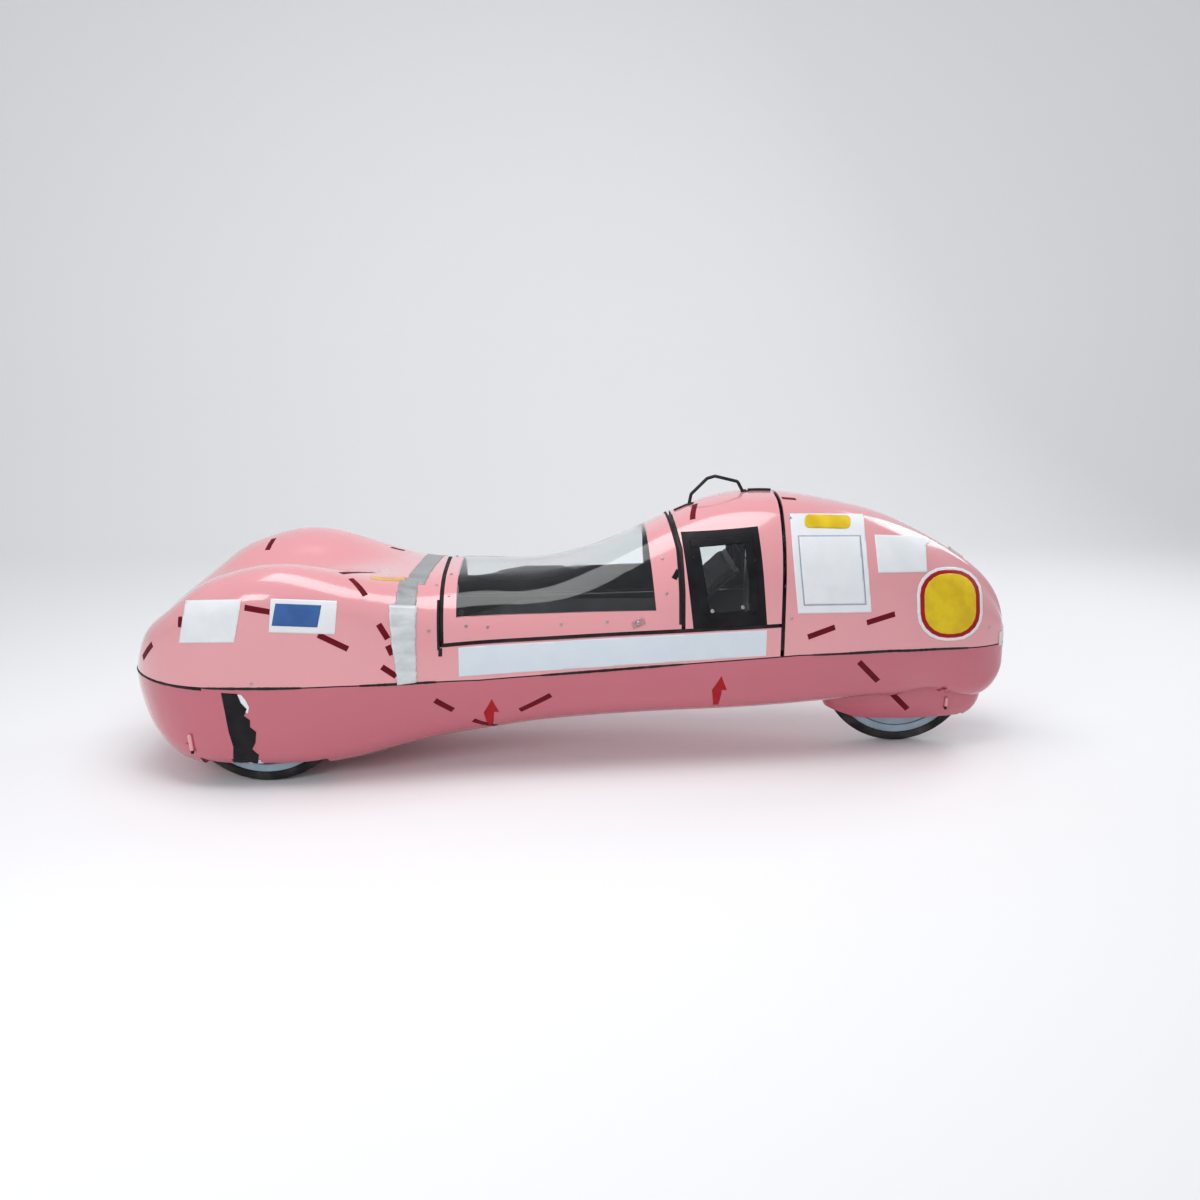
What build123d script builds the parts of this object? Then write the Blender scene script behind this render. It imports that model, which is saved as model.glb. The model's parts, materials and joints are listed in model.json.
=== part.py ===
from build123d import *
import math
import os

os.makedirs("parts", exist_ok=True)

# A one-seat velomobile: two steered front wheels, one rear wheel, a closed moulded body.
# Millimetres. +X runs toward the tail, +Y to the vehicle's right, +Z up, the ground at Z = 0.

# Driving dimensions of the body
NOSE_X = -1345.0
TAIL_X = 1345.0
SHELL_WALL = 8.0
GLAZING_WALL = 3.0
SEAL_HEIGHT = 4.0
LID_GAP = 12.0
TAIL_SEAM_X = 598.0
CANOPY_FRONT_X = -405.0
CANOPY_FRONT_FRAME = 36.0
SILL_FRONT_Z = 427.0
SILL_REAR_Z = 458.0

# Driving dimensions of the running gear
WHEEL_R = 245.0
TYRE_WIDTH = 45.0
RIM_SEAT_R = 214.0
RIM_WIDTH = 30.0
RIM_DEPTH = 22.0
HUB_R = 22.0
HUB_HALF = 28.0
REAR_HUB_HALF = 44.0
DISC_STEP = 3.0
FRONT_AXLE_X = -935.0
REAR_AXLE_X = 1022.0
HALF_TRACK = 245.0
KINGPIN_Y = 185.0
KINGPIN_R = 7.0
STUB_R = 8.0
REAR_AXLE_R = 6.0
RUNNING_FIT = 0.08
STEER_ARM = 90.0
STEER_LIMIT = 7.0
WELL_GAP = 8.0
FRONT_WELL_END_GAP = 32.0
REAR_WELL_SIDE_GAP = 13.5
FAIRING_FRONT_GAP = 22.0

# Driving dimensions of the frame
RAIL_SIZE = 30.0
RAIL_Y = 95.0
RAIL_REAR_X = 760.0
BOLT_X = -260.0
BOLT_SPACING = 100.0
BOLT_HOLE_R = 4.25
POST_X = (-720.0, -150.0, 400.0, 715.0)
POST_R = 10.0
HOOP_TUBE_R = 12.0
HOOP_X = 555.0
HOOP_HALF_WIDTH = 160.0
HOOP_TOP_Z = 760.0
HOOP_KNEE_LOW_Z = 330.0
HOOP_KNEE_HIGH_Z = 420.0
HOOP_BEND = 145.0
KNEE_BEND = 40.0

# Front axle, steering and rear fork
YOKE_HALF = 50.0
YOKE_EAR = 8.0
YOKE_BACK = 13.0
BEAM_HALF = 168.0
SLEEVE_R = 13.0
SLEEVE_GAP = 0.5
AXLE_TIP = 8.0
ARM_WIDTH = 18.0
ARM_THICKNESS = 12.0
TIE_PIN_R = 5.0
TIE_PIN_HEIGHT = 16.0
TIE_GAP = 1.0
TIE_EYE_R = 11.0
TIE_EYE_HEIGHT = 14.0
TIE_ROD_R = 6.0
COLUMN_TILT = 50.0
COLUMN_X = -520.0
COLUMN_R = 10.0
COLUMN_LENGTH = 215.0
SOCKET_LENGTH = 55.0
SOCKET_WALL = 6.0
SOCKET_FLOOR = 15.0
BAR_HALF = 115.0
FORK_INSIDE = 48.0
FORK_THICKNESS = 8.0

# Seat, bulkhead and engine
SEAT_WIDTH = 300.0
SEAT_THICKNESS = 12.0
SEAT_FRONT_X = -130.0
SEAT_KNEE_X = 95.0
SEAT_BACK_TOP = (478.0, 604.0)
SEAT_BACK_EDGE = (469.0, 612.0)
BULKHEAD_X = TAIL_SEAM_X + 14.0
BULKHEAD_WALL = 6.0
BULKHEAD_GAP = 8.0
ENGINE_SIZE = (130.0, 180.0, 190.0)
ENGINE_X = 700.0

# Hinges, handle and small fittings
HINGE_PIN_R = 3.0
HINGE_BARREL_R = 7.0
BARREL_LENGTH = 20.0
BARREL_GAP = 1.0
BRACKET_HEIGHT = 22.0
BRACKET_ROOT_Y = 150.0
CANOPY_HINGE_Y = 306.0
CANOPY_HINGE_X = (-300.0, 150.0)
HATCH_HINGE_Y = 262.0
HATCH_HINGE_X = (370.0, 530.0)
WIRE_R = 5.0
WIRE_BEND = 12.0
HANDLE_LINE = [(335, 765), (344, 812), (392, 860), (416, 867), (486, 850), (516, 795)]
FITTING_HEIGHT = 6.0
CLIP_X = (1160.0, 1200.0)
CLIP_HALF = 15.0
LATCH_Z = (345.0, 385.0)
LATCH_HALF = 8.0
BOSSES = [(-1150, 120), (1143, 185)]

# Worked out from the sizes above
HALF_GAP = LID_GAP / 2
HALF_RAIL = RAIL_SIZE / 2
RAIL_BOTTOM_Z = WHEEL_R - HALF_RAIL
RAIL_TOP_Z = WHEEL_R + HALF_RAIL
RAIL_FRONT_X = FRONT_AXLE_X + HALF_RAIL
RAIL_INSIDE = RAIL_Y - HALF_RAIL
FAR = 1500.0

# Body sections: station x, half width, belly z, half width of the flat belly, z of the widest
# line, shoulder y, shoulder z, shoulder slope in degrees, crown z
SECTIONS = [
    (NOSE_X, 62, 240, 20, 288, 40, 312, 25, 318),
    (-1336, 125, 202, 55, 302, 85, 345, 20, 352),
    (-1312, 175, 166, 90, 311, 125, 402, 15, 408),
    (-1268, 232, 116, 135, 317, 170, 462, 8, 462),
    (-1195, 290, 66, 180, 320, 215, 522, 0, 505),
    (-1090, 335, 48, 215, 322, 250, 602, 0, 548),
    (-960, 352, 46, 222, 324, 265, 650, 0, 566),
    (-830, 357, 46, 218, 326, 268, 661, 0, 575),
    (-690, 350, 54, 195, 325, 248, 632, 0, 586),
    (-540, 328, 82, 165, 319, 217, 594, 6, 596),
    (-400, 302, 106, 140, 318, 200, 576, 22, 600),
    (-180, 280, 136, 130, 321, 185, 570, 28, 603),
    (20, 270, 152, 124, 331, 165, 603, 36, 634),
    (240, 257, 160, 116, 344, 150, 690, 45, 735),
    (430, 247, 163, 108, 355, 150, 762, 45, 808),
    (620, 236, 170, 100, 363, 145, 773, 45, 817),
    (850, 205, 182, 85, 361, 128, 728, 45, 774),
    (1030, 170, 190, 66, 355, 105, 655, 45, 706),
    (1170, 132, 182, 52, 347, 80, 574, 42, 627),
    (1265, 98, 170, 40, 341, 58, 503, 40, 555),
    (1320, 62, 206, 24, 338, 36, 438, 38, 480),
    (1339, 42, 240, 14, 337, 24, 398, 35, 428),
    (TAIL_X, 20, 285, 6, 336, 12, 362, 30, 376),
]

# Rear wheel fairing, ovals at rising heights: z, reach behind the axle, half width
FAIRING = [(95, 228, 60), (130, 260, 76), (190, 270, 80), (300, 284, 88)]
FAIRING_END_SHARE = 0.55
FAIRING_LIP = [(700, 154), (880, 95)]

# Lines in the side view, as x, z: where the lower and upper mouldings meet, the middle of the
# seam between canopy and hatch, the clear sheet's edges, the window's black frame, its glass
PARTING = [
    (-FAR, 312), (-1100, 322), (-700, 326), (-300, 318), (250, 345), (650, 364), (950, 360), (FAR, 330),
]
HATCH_SEAM = [(300, 440), (300, 560), (295, 680), (278, 750)]
CLEAR_LOWER_EDGE = (503.0, 509.0)
CLEAR_REAR_EDGE = [(220, 509), (202, 700)]
WINDOW = [(331, 440), (551, 440), (522, 746), (298, 724)]
GLASS = [(352, 481), (527, 485), (503, 727), (321, 706)]


def biarc(start, start_dir, end, end_dir):
    """The point where two tangent arcs from start to end meet, in the YZ plane."""
    vy, vz = end[0] - start[0], end[1] - start[1]
    ty, tz = start_dir[0] + end_dir[0], start_dir[1] + end_dir[1]
    vt = vy * ty + vz * tz
    k = 2 * (1 - (start_dir[0] * end_dir[0] + start_dir[1] * end_dir[1]))
    vv = vy * vy + vz * vz
    reach = vv / (2 * vt) if k < 1e-9 else (-vt + math.sqrt(vt * vt + k * vv)) / k
    return (
        (start[0] + end[0] + reach * (start_dir[0] - end_dir[0])) / 2,
        (start[1] + end[1] + reach * (start_dir[1] - end_dir[1])) / 2,
    )


def at(x, point):
    return Vector(x, point[0], point[1])


def arc_or_line(x, start, start_dir, end):
    """An edge leaving start along start_dir and ending at end, on the station at x."""
    chord = (end[0] - start[0], end[1] - start[1])
    cross = start_dir[0] * chord[1] - start_dir[1] * chord[0]
    if abs(cross) < 1e-4 * math.hypot(*chord):
        return Edge.make_line(at(x, start), at(x, end))
    return Edge.make_tangent_arc(at(x, start), Vector(0, start_dir[0], start_dir[1]), at(x, end))


def end_direction(start, start_dir, end):
    """Direction in which the arc that leaves start along start_dir reaches end."""
    cy, cz = end[0] - start[0], end[1] - start[1]
    length = math.hypot(cy, cz)
    cy, cz = cy / length, cz / length
    dot = start_dir[0] * cy + start_dir[1] * cz
    return (2 * dot * cy - start_dir[0], 2 * dot * cz - start_dir[1])


def section_face(row, inset):
    """One closed body section of six arcs a side over a flat belly, moved inward by inset."""
    x, half_width, belly_z, belly_y, wide_z, shoulder_y, shoulder_z, slope, crown_z = row
    slope = math.radians(slope)
    half_width -= inset
    belly_z += inset
    shoulder_y -= inset * math.sin(slope)
    shoulder_z -= inset * math.cos(slope)
    crown_z -= inset
    belly_y = min(belly_y, half_width - 2)
    points = [(belly_y, belly_z), (half_width, wide_z), (shoulder_y, shoulder_z), (0, crown_z)]
    directions = [(1, 0), (0, 1), (-math.cos(slope), math.sin(slope)), (-1, 0)]
    right = []
    for i in range(3):
        joint = biarc(points[i], directions[i], points[i + 1], directions[i + 1])
        right.append((points[i], directions[i], joint))
        right.append((joint, end_direction(points[i], directions[i], joint), points[i + 1]))
    edges = [Edge.make_line(at(x, (-belly_y, belly_z)), at(x, (belly_y, belly_z)))]
    for start, direction, end in right:
        edges.append(arc_or_line(x, start, direction, end))
    for start, direction, end in reversed(right):
        back = end_direction(start, direction, end)
        edges.append(arc_or_line(x, (-end[0], end[1]), (back[0], -back[1]), (-start[0], start[1])))
    return Face(Wire(edges))


def body_solid(inset):
    """The closed outer form of the body, moved inward by inset."""
    rows = [list(row) for row in SECTIONS]
    rows[0][0] += inset
    rows[-1][0] -= inset
    return Solid.make_loft([section_face(row, inset).outer_wire() for row in rows])


def section_row(x):
    """The body section at x, in line between the stations on each side."""
    for low, high in zip(SECTIONS, SECTIONS[1:]):
        if low[0] <= x <= high[0]:
            share = (x - low[0]) / (high[0] - low[0])
            return [a + share * (b - a) for a, b in zip(low, high)]


def xz_prism(points, low_y=-FAR, high_y=FAR):
    """A block whose outline in the XZ plane is points, from low_y to high_y."""
    wire = Wire.make_polygon([Vector(x, low_y, z) for x, z in points])
    return Solid.extrude(Face(wire), Vector(0, high_y - low_y, 0))


def box(low, high):
    """A block from its lowest corner to its highest."""
    size = [h - l for l, h in zip(low, high)]
    middle = [(l + h) / 2 for l, h in zip(low, high)]
    return Pos(*middle) * Box(*size)


def rod(start, end, radius):
    """A round bar from start to end."""
    start, end = Vector(*start), Vector(*end)
    axis = end - start
    return Solid.make_cylinder(radius, axis.length, Plane(origin=start, z_dir=axis.normalized()))


def one_solid(shape):
    """The largest solid of a shape, without slivers."""
    return max(shape.solids(), key=lambda solid: solid.volume)


def big_solids(shape, least=50.0):
    """The solids of a shape as one compound, without slivers."""
    return Compound(children=[solid for solid in shape.solids() if solid.volume > least])


def save(name, shape):
    shape.label = name
    export_step(shape, f"parts/{name}.step")


def above(offset):
    """Everything above the parting line moved up by offset."""
    line = [(x, z + offset) for x, z in PARTING]
    return xz_prism(line + [(FAR, FAR), (-FAR, FAR)])


def sill_z(x):
    """Height of the middle of the seam under the lids."""
    share = (x - CANOPY_FRONT_X) / (TAIL_SEAM_X - CANOPY_FRONT_X)
    return SILL_FRONT_Z + share * (SILL_REAR_Z - SILL_FRONT_Z)


def seam_edge(offset):
    """The edge of a lid along the hatch seam, offset along X, from the sill up."""
    low_x = HATCH_SEAM[0][0]
    line = [(low_x + offset, sill_z(low_x) + HALF_GAP)]
    line += [(x + offset, z) for x, z in HATCH_SEAM[1:]]
    return line + [(line[-1][0], FAR)]


def chord(z):
    """Half the length of a wheel's chord at height z."""
    return math.sqrt(WHEEL_R ** 2 - (WHEEL_R - z) ** 2)


def oval(z, rear_reach, half_width, inset):
    """A four-arc oval around the rear wheel, at height z, moved inward by inset."""
    front_x = REAR_AXLE_X - chord(min(z, WHEEL_R)) - FAIRING_FRONT_GAP
    rear_x = REAR_AXLE_X + rear_reach
    a = (rear_x - front_x) / 2 - inset
    b = half_width - inset
    middle = (front_x + rear_x) / 2
    end_r = FAIRING_END_SHARE * b
    side_r = ((a - end_r) ** 2 + b * b - end_r * end_r) / (2 * (b - end_r))
    reach = side_r - end_r
    tx = (a - end_r) + end_r * (a - end_r) / reach
    ty = end_r * (side_r - b) / reach
    return Wire([
        Edge.make_three_point_arc((middle + tx, -ty, z), (middle + a, 0, z), (middle + tx, ty, z)),
        Edge.make_three_point_arc((middle + tx, ty, z), (middle, b, z), (middle - tx, ty, z)),
        Edge.make_three_point_arc((middle - tx, ty, z), (middle - a, 0, z), (middle - tx, -ty, z)),
        Edge.make_three_point_arc((middle - tx, -ty, z), (middle, -b, z), (middle + tx, -ty, z)),
    ])


outer = body_solid(0)
inner = body_solid(SHELL_WALL)
glass_inner = body_solid(GLAZING_WALL)
proud = body_solid(-FITTING_HEIGHT)
fairing_outer = Solid.make_loft([oval(*row, 0) for row in FAIRING])


def fitting(block):
    """A pad that stands proud of the body's surface inside block."""
    return (proud & block) - outer - fairing_outer


# Lower moulding, with the fairing over the rear wheel, open under all three wheels
floor_row, *wall_rows = FAIRING
raised_floor = (floor_row[0] + SHELL_WALL, *floor_row[1:])
fairing_inner = Solid.make_loft([oval(*row, SHELL_WALL) for row in [raised_floor] + wall_rows])
upper_side = above(-SEAL_HEIGHT / 2)
lower_inner = (inner - upper_side) + fairing_inner
lower = ((outer - upper_side) + fairing_outer) - lower_inner

belly_z = min(row[2] for row in SECTIONS)
front_reach = chord(belly_z + SHELL_WALL)
front_well_half = front_reach + FRONT_WELL_END_GAP
front_well_side = TYRE_WIDTH / 2 + front_reach * math.sin(math.radians(STEER_LIMIT)) + WELL_GAP
for side in (-1, 1):
    lower -= box(
        (FRONT_AXLE_X - front_well_half, side * HALF_TRACK - front_well_side, 0),
        (FRONT_AXLE_X + front_well_half, side * HALF_TRACK + front_well_side, RAIL_BOTTOM_Z / 2),
    )
fairing_floor_z = floor_row[0]
rear_well_half = chord(fairing_floor_z + SHELL_WALL) + WELL_GAP
rear_well_side = TYRE_WIDTH / 2 + REAR_WELL_SIDE_GAP
lower -= box(
    (REAR_AXLE_X - rear_well_half, -rear_well_side, 0),
    (REAR_AXLE_X + rear_well_half, rear_well_side, fairing_floor_z + 2 * SHELL_WALL),
)
lip_front, lip_rear = FAIRING_LIP
lower -= xz_prism([(lip_front[0], 0), (lip_rear[0], 0), lip_rear, lip_front])
save("lower_shell", one_solid(lower))

# Seal between the mouldings
band = upper_side - above(SEAL_HEIGHT / 2)
save("parting_seal", one_solid((outer & band) - (inner & band)))

# Upper moulding: fixed nose and tail shells and, between them, the two lids
upper_outer = outer & above(SEAL_HEIGHT / 2)
upper_inner = inner & above(SEAL_HEIGHT / 2)


def upper_wall(block, cut=None):
    """The upper moulding's wall inside block, less cut."""
    outside, inside = upper_outer & block, upper_inner & block
    if cut is not None:
        outside, inside = outside - cut, inside - cut
    return outside - inside


front_edge = CANOPY_FRONT_X - HALF_GAP
lids_opening = xz_prism([
    (front_edge, sill_z(CANOPY_FRONT_X) - HALF_GAP),
    (TAIL_SEAM_X + HALF_GAP, sill_z(TAIL_SEAM_X) - HALF_GAP),
    (TAIL_SEAM_X + HALF_GAP, FAR),
    (front_edge, FAR),
])
nose_block = box((-FAR, -FAR, 0), (TAIL_SEAM_X - HALF_GAP, FAR, FAR))
tail_block = box((TAIL_SEAM_X + HALF_GAP, -FAR, 0), (FAR, FAR, FAR))
save("nose_shell", one_solid(upper_wall(nose_block, lids_opening)))
save("tail_shell", one_solid(upper_wall(tail_block)))

# Canopy: a moulded frame round a clear bent sheet
canopy_x = CANOPY_FRONT_X + HALF_GAP
canopy_block = xz_prism(
    [(canopy_x, sill_z(CANOPY_FRONT_X) + HALF_GAP)] + seam_edge(-HALF_GAP) + [(canopy_x, FAR)])
clear_x = canopy_x + CANOPY_FRONT_FRAME
clear_block = xz_prism(
    [(clear_x, CLEAR_LOWER_EDGE[0])] + CLEAR_REAR_EDGE + [(CLEAR_REAR_EDGE[-1][0], FAR), (clear_x, FAR)])
save("canopy_frame", one_solid(upper_wall(canopy_block, clear_block)))
save("canopy_glazing", one_solid((upper_outer & clear_block) - glass_inner))

# Hatch: a moulded roof with a black-framed window on each side
hatch_x = TAIL_SEAM_X - HALF_GAP
hatch_front = seam_edge(HALF_GAP)
hatch_block = xz_prism(
    [hatch_front[0], (hatch_x, sill_z(TAIL_SEAM_X) + HALF_GAP), (hatch_x, FAR)] + hatch_front[:0:-1])
window_block = xz_prism(WINDOW)
glass_block = xz_prism(GLASS)
hatch = upper_wall(hatch_block)
save("hatch_shell", one_solid(hatch - window_block))
for side, label in ((-1, "left"), (1, "right")):
    low_y, high_y = sorted((0, side * FAR))
    half = box((0, low_y, 0), (FAR, high_y, FAR))
    save(f"hatch_window_frame_{label}", one_solid((hatch & window_block & half) - glass_block))
    save(f"hatch_window_{label}", one_solid((outer & glass_block & half) - glass_inner))

# Frame rails with the bolt holes, and the crossmember behind
for side, label in ((-1, "left"), (1, "right")):
    y = side * RAIL_Y
    rail = box((RAIL_FRONT_X, y - HALF_RAIL, RAIL_BOTTOM_Z), (RAIL_REAR_X, y + HALF_RAIL, RAIL_TOP_Z))
    for x in (BOLT_X - BOLT_SPACING / 2, BOLT_X + BOLT_SPACING / 2):
        rail -= rod((x, y, 0), (x, y, FAR), BOLT_HOLE_R)
    save(f"frame_rail_{label}", one_solid(rail))
save("rear_crossmember", box(
    (RAIL_REAR_X - RAIL_SIZE, -RAIL_INSIDE, RAIL_BOTTOM_Z),
    (RAIL_REAR_X, RAIL_INSIDE, RAIL_TOP_Z),
))

# Posts between the belly and the rails
posts = Part()
for x in POST_X:
    for side in (-1, 1):
        posts += rod((x, side * RAIL_Y, 0), (x, side * RAIL_Y, RAIL_BOTTOM_Z), POST_R)
save("shell_posts", big_solids(posts & inner))

# Front axle: a square beam with a yoke and a kingpin at each end
yoke_low = WHEEL_R - YOKE_HALF
yoke_high = WHEEL_R + YOKE_HALF
beam_x = (FRONT_AXLE_X - HALF_RAIL, FRONT_AXLE_X + HALF_RAIL)
beam = box((beam_x[0], -BEAM_HALF, RAIL_BOTTOM_Z), (beam_x[1], BEAM_HALF, RAIL_TOP_Z))
for side in (-1, 1):
    back = sorted((side * (BEAM_HALF - YOKE_BACK), side * BEAM_HALF))
    ear = sorted((side * BEAM_HALF, side * (KINGPIN_Y + HALF_RAIL)))
    beam += box((beam_x[0], back[0], yoke_low), (beam_x[1], back[1], yoke_high))
    beam += box((beam_x[0], ear[0], yoke_low), (beam_x[1], ear[1], yoke_low + YOKE_EAR))
    beam += box((beam_x[0], ear[0], yoke_high - YOKE_EAR), (beam_x[1], ear[1], yoke_high))
    pin_y = side * KINGPIN_Y
    beam += rod((FRONT_AXLE_X, pin_y, yoke_low), (FRONT_AXLE_X, pin_y, yoke_high), KINGPIN_R)
save("front_axle_beam", one_solid(beam))

# Steering knuckles: a sleeve on the kingpin, a stub axle outward and an arm forward
sleeve_low = yoke_low + YOKE_EAR + SLEEVE_GAP
sleeve_high = yoke_high - YOKE_EAR - SLEEVE_GAP
arm_top = sleeve_low + ARM_THICKNESS
arm_x = FRONT_AXLE_X - STEER_ARM
for side, label in ((-1, "left"), (1, "right")):
    y = side * KINGPIN_Y
    stub_end = side * (HALF_TRACK + HUB_HALF + AXLE_TIP)
    knuckle = rod((FRONT_AXLE_X, y, sleeve_low), (FRONT_AXLE_X, y, sleeve_high), SLEEVE_R)
    knuckle += rod((FRONT_AXLE_X, y, WHEEL_R), (FRONT_AXLE_X, stub_end, WHEEL_R), STUB_R)
    knuckle += box(
        (arm_x - ARM_WIDTH / 2, y - ARM_WIDTH / 2, sleeve_low),
        (FRONT_AXLE_X, y + ARM_WIDTH / 2, arm_top),
    )
    knuckle += rod((arm_x, y, sleeve_low), (arm_x, y, arm_top + TIE_PIN_HEIGHT), TIE_PIN_R)
    knuckle -= rod((FRONT_AXLE_X, y, 0), (FRONT_AXLE_X, y, FAR), KINGPIN_R + RUNNING_FIT)
    save(f"knuckle_{label}", one_solid(knuckle))

# Tie rod: a bar with an eye round each arm's pin
tie_low = arm_top + TIE_GAP
tie_z = tie_low + TIE_EYE_HEIGHT / 2
tie = rod((arm_x, -KINGPIN_Y, tie_z), (arm_x, KINGPIN_Y, tie_z), TIE_ROD_R)
for y in (-KINGPIN_Y, KINGPIN_Y):
    tie += rod((arm_x, y, tie_low), (arm_x, y, tie_low + TIE_EYE_HEIGHT), TIE_EYE_R)
for y in (-KINGPIN_Y, KINGPIN_Y):
    tie -= rod((arm_x, y, 0), (arm_x, y, FAR), TIE_PIN_R + RUNNING_FIT)
save("tie_rod", one_solid(tie))

# Steering bar on a leaning column, in a socket on a cross tube
tilt = math.radians(COLUMN_TILT)
column_dir = Vector(math.cos(tilt), 0, math.sin(tilt))
column_foot = Vector(COLUMN_X, 0, WHEEL_R)
bar_centre = column_foot + column_dir * COLUMN_LENGTH
socket = rod(column_foot, column_foot + column_dir * SOCKET_LENGTH, COLUMN_R + SOCKET_WALL)
socket += box(
    (COLUMN_X - HALF_RAIL, -RAIL_INSIDE, RAIL_BOTTOM_Z),
    (COLUMN_X + HALF_RAIL, RAIL_INSIDE, RAIL_TOP_Z),
)
socket_floor = column_foot + column_dir * SOCKET_FLOOR
socket -= rod(socket_floor, column_foot + column_dir * FAR, COLUMN_R + RUNNING_FIT)
save("steering_socket", one_solid(socket))
bar = rod(socket_floor + column_dir * BARREL_GAP, bar_centre, COLUMN_R)
bar += rod(bar_centre + Vector(0, -BAR_HALF, 0), bar_centre + Vector(0, BAR_HALF, 0), COLUMN_R)
save("steering_bar", one_solid(bar))

# Rear fork plates and the rear axle
axle_half = FORK_INSIDE + FORK_THICKNESS + AXLE_TIP
for side, label in ((-1, "left"), (1, "right")):
    plate_y = sorted((side * FORK_INSIDE, side * (FORK_INSIDE + FORK_THICKNESS)))
    plate = box((RAIL_REAR_X, plate_y[0], RAIL_BOTTOM_Z), (REAR_AXLE_X + RAIL_SIZE, plate_y[1], RAIL_TOP_Z))
    plate -= rod((REAR_AXLE_X, -FAR, WHEEL_R), (REAR_AXLE_X, FAR, WHEEL_R), REAR_AXLE_R + RUNNING_FIT)
    save(f"rear_fork_{label}", one_solid(plate))
save("rear_axle", rod((REAR_AXLE_X, -axle_half, WHEEL_R), (REAR_AXLE_X, axle_half, WHEEL_R), REAR_AXLE_R))


def revolved(points, x, y):
    """A closed outline of (radius, offset along Y) turned about a wheel's axle."""
    wire = Wire.make_polygon([Vector(r, o, 0) for r, o in points])
    return Pos(x, y, WHEEL_R) * Solid.revolve(Face(wire), 360, Axis.Y)


def wheel_disc(x, y, bore_r, hub_half):
    """Hub, dished disc sides and rim as one turned piece."""
    rim_half = RIM_WIDTH / 2
    side = [
        (HUB_R, hub_half),
        (HUB_R, hub_half - DISC_STEP),
        (RIM_SEAT_R - RIM_DEPTH, rim_half - DISC_STEP),
        (RIM_SEAT_R - RIM_DEPTH, rim_half),
        (RIM_SEAT_R, rim_half),
    ]
    outline = [(bore_r, -hub_half), (bore_r, hub_half)] + side + [(r, -o) for r, o in reversed(side)]
    return revolved(outline, x, y)


def tyre(x, y):
    """A round tyre section, flat where it sits on the rim."""
    section_r = TYRE_WIDTH / 2
    circle = Wire.make_circle(section_r, Plane(origin=(WHEEL_R - section_r, 0, 0), z_dir=(0, 0, 1)))
    ring = Pos(x, y, WHEEL_R) * Solid.revolve(Face(circle), 360, Axis.Y)
    return ring - rod((x, y - TYRE_WIDTH, WHEEL_R), (x, y + TYRE_WIDTH, WHEEL_R), RIM_SEAT_R)


# Wheels: name, axle x, middle y, axle radius, hub half length
WHEELS = [
    ("front_left", FRONT_AXLE_X, -HALF_TRACK, STUB_R, HUB_HALF),
    ("front_right", FRONT_AXLE_X, HALF_TRACK, STUB_R, HUB_HALF),
    ("rear", REAR_AXLE_X, 0.0, REAR_AXLE_R, REAR_HUB_HALF),
]
for name, x, y, axle_r, hub_half in WHEELS:
    save(f"{name}_wheel", one_solid(wheel_disc(x, y, axle_r + RUNNING_FIT, hub_half)))
    save(f"{name}_tyre", one_solid(tyre(x, y)))

# Seat: a pan on the rails and a back that leans to the hoop
seat_line = [
    (SEAT_FRONT_X, RAIL_TOP_Z),
    (SEAT_KNEE_X, RAIL_TOP_Z),
    SEAT_BACK_TOP,
    SEAT_BACK_EDGE,
    (SEAT_KNEE_X - SEAT_THICKNESS / 2, RAIL_TOP_Z + SEAT_THICKNESS),
    (SEAT_FRONT_X, RAIL_TOP_Z + SEAT_THICKNESS),
]
save("seat", xz_prism(seat_line, -SEAT_WIDTH / 2, SEAT_WIDTH / 2))

# Roll hoop: one bent tube from rail to rail
hoop_half = [
    (RAIL_Y, RAIL_TOP_Z),
    (RAIL_Y, HOOP_KNEE_LOW_Z),
    (HOOP_HALF_WIDTH, HOOP_KNEE_HIGH_Z),
    (HOOP_HALF_WIDTH, HOOP_TOP_Z),
]
hoop_points = [(HOOP_X, -y, z) for y, z in hoop_half] + [(HOOP_X, y, z) for y, z in reversed(hoop_half)]
hoop_radii = [KNEE_BEND, KNEE_BEND, HOOP_BEND, HOOP_BEND, KNEE_BEND, KNEE_BEND]
hoop_line = FilletPolyline(*hoop_points, radius=hoop_radii)
hoop_start = Plane(origin=hoop_line @ 0, z_dir=hoop_line % 0)
save("roll_hoop", one_solid(sweep(Face(Wire.make_circle(HOOP_TUBE_R, hoop_start)), hoop_line)))

# Bulkhead behind the hatch, and the engine as one plain block on the rails
bulkhead_face = section_face(section_row(BULKHEAD_X), SHELL_WALL + BULKHEAD_GAP)
bulkhead = Solid.extrude(bulkhead_face, Vector(BULKHEAD_WALL, 0, 0))
save("bulkhead", one_solid(bulkhead & box((0, -FAR, RAIL_TOP_Z), (FAR, FAR, FAR))))
ex, ey, ez = ENGINE_SIZE
engine = box((ENGINE_X - ex / 2, -ey / 2, RAIL_TOP_Z), (ENGINE_X + ex / 2, ey / 2, RAIL_TOP_Z + ez))
save("engine_block", engine)

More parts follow.
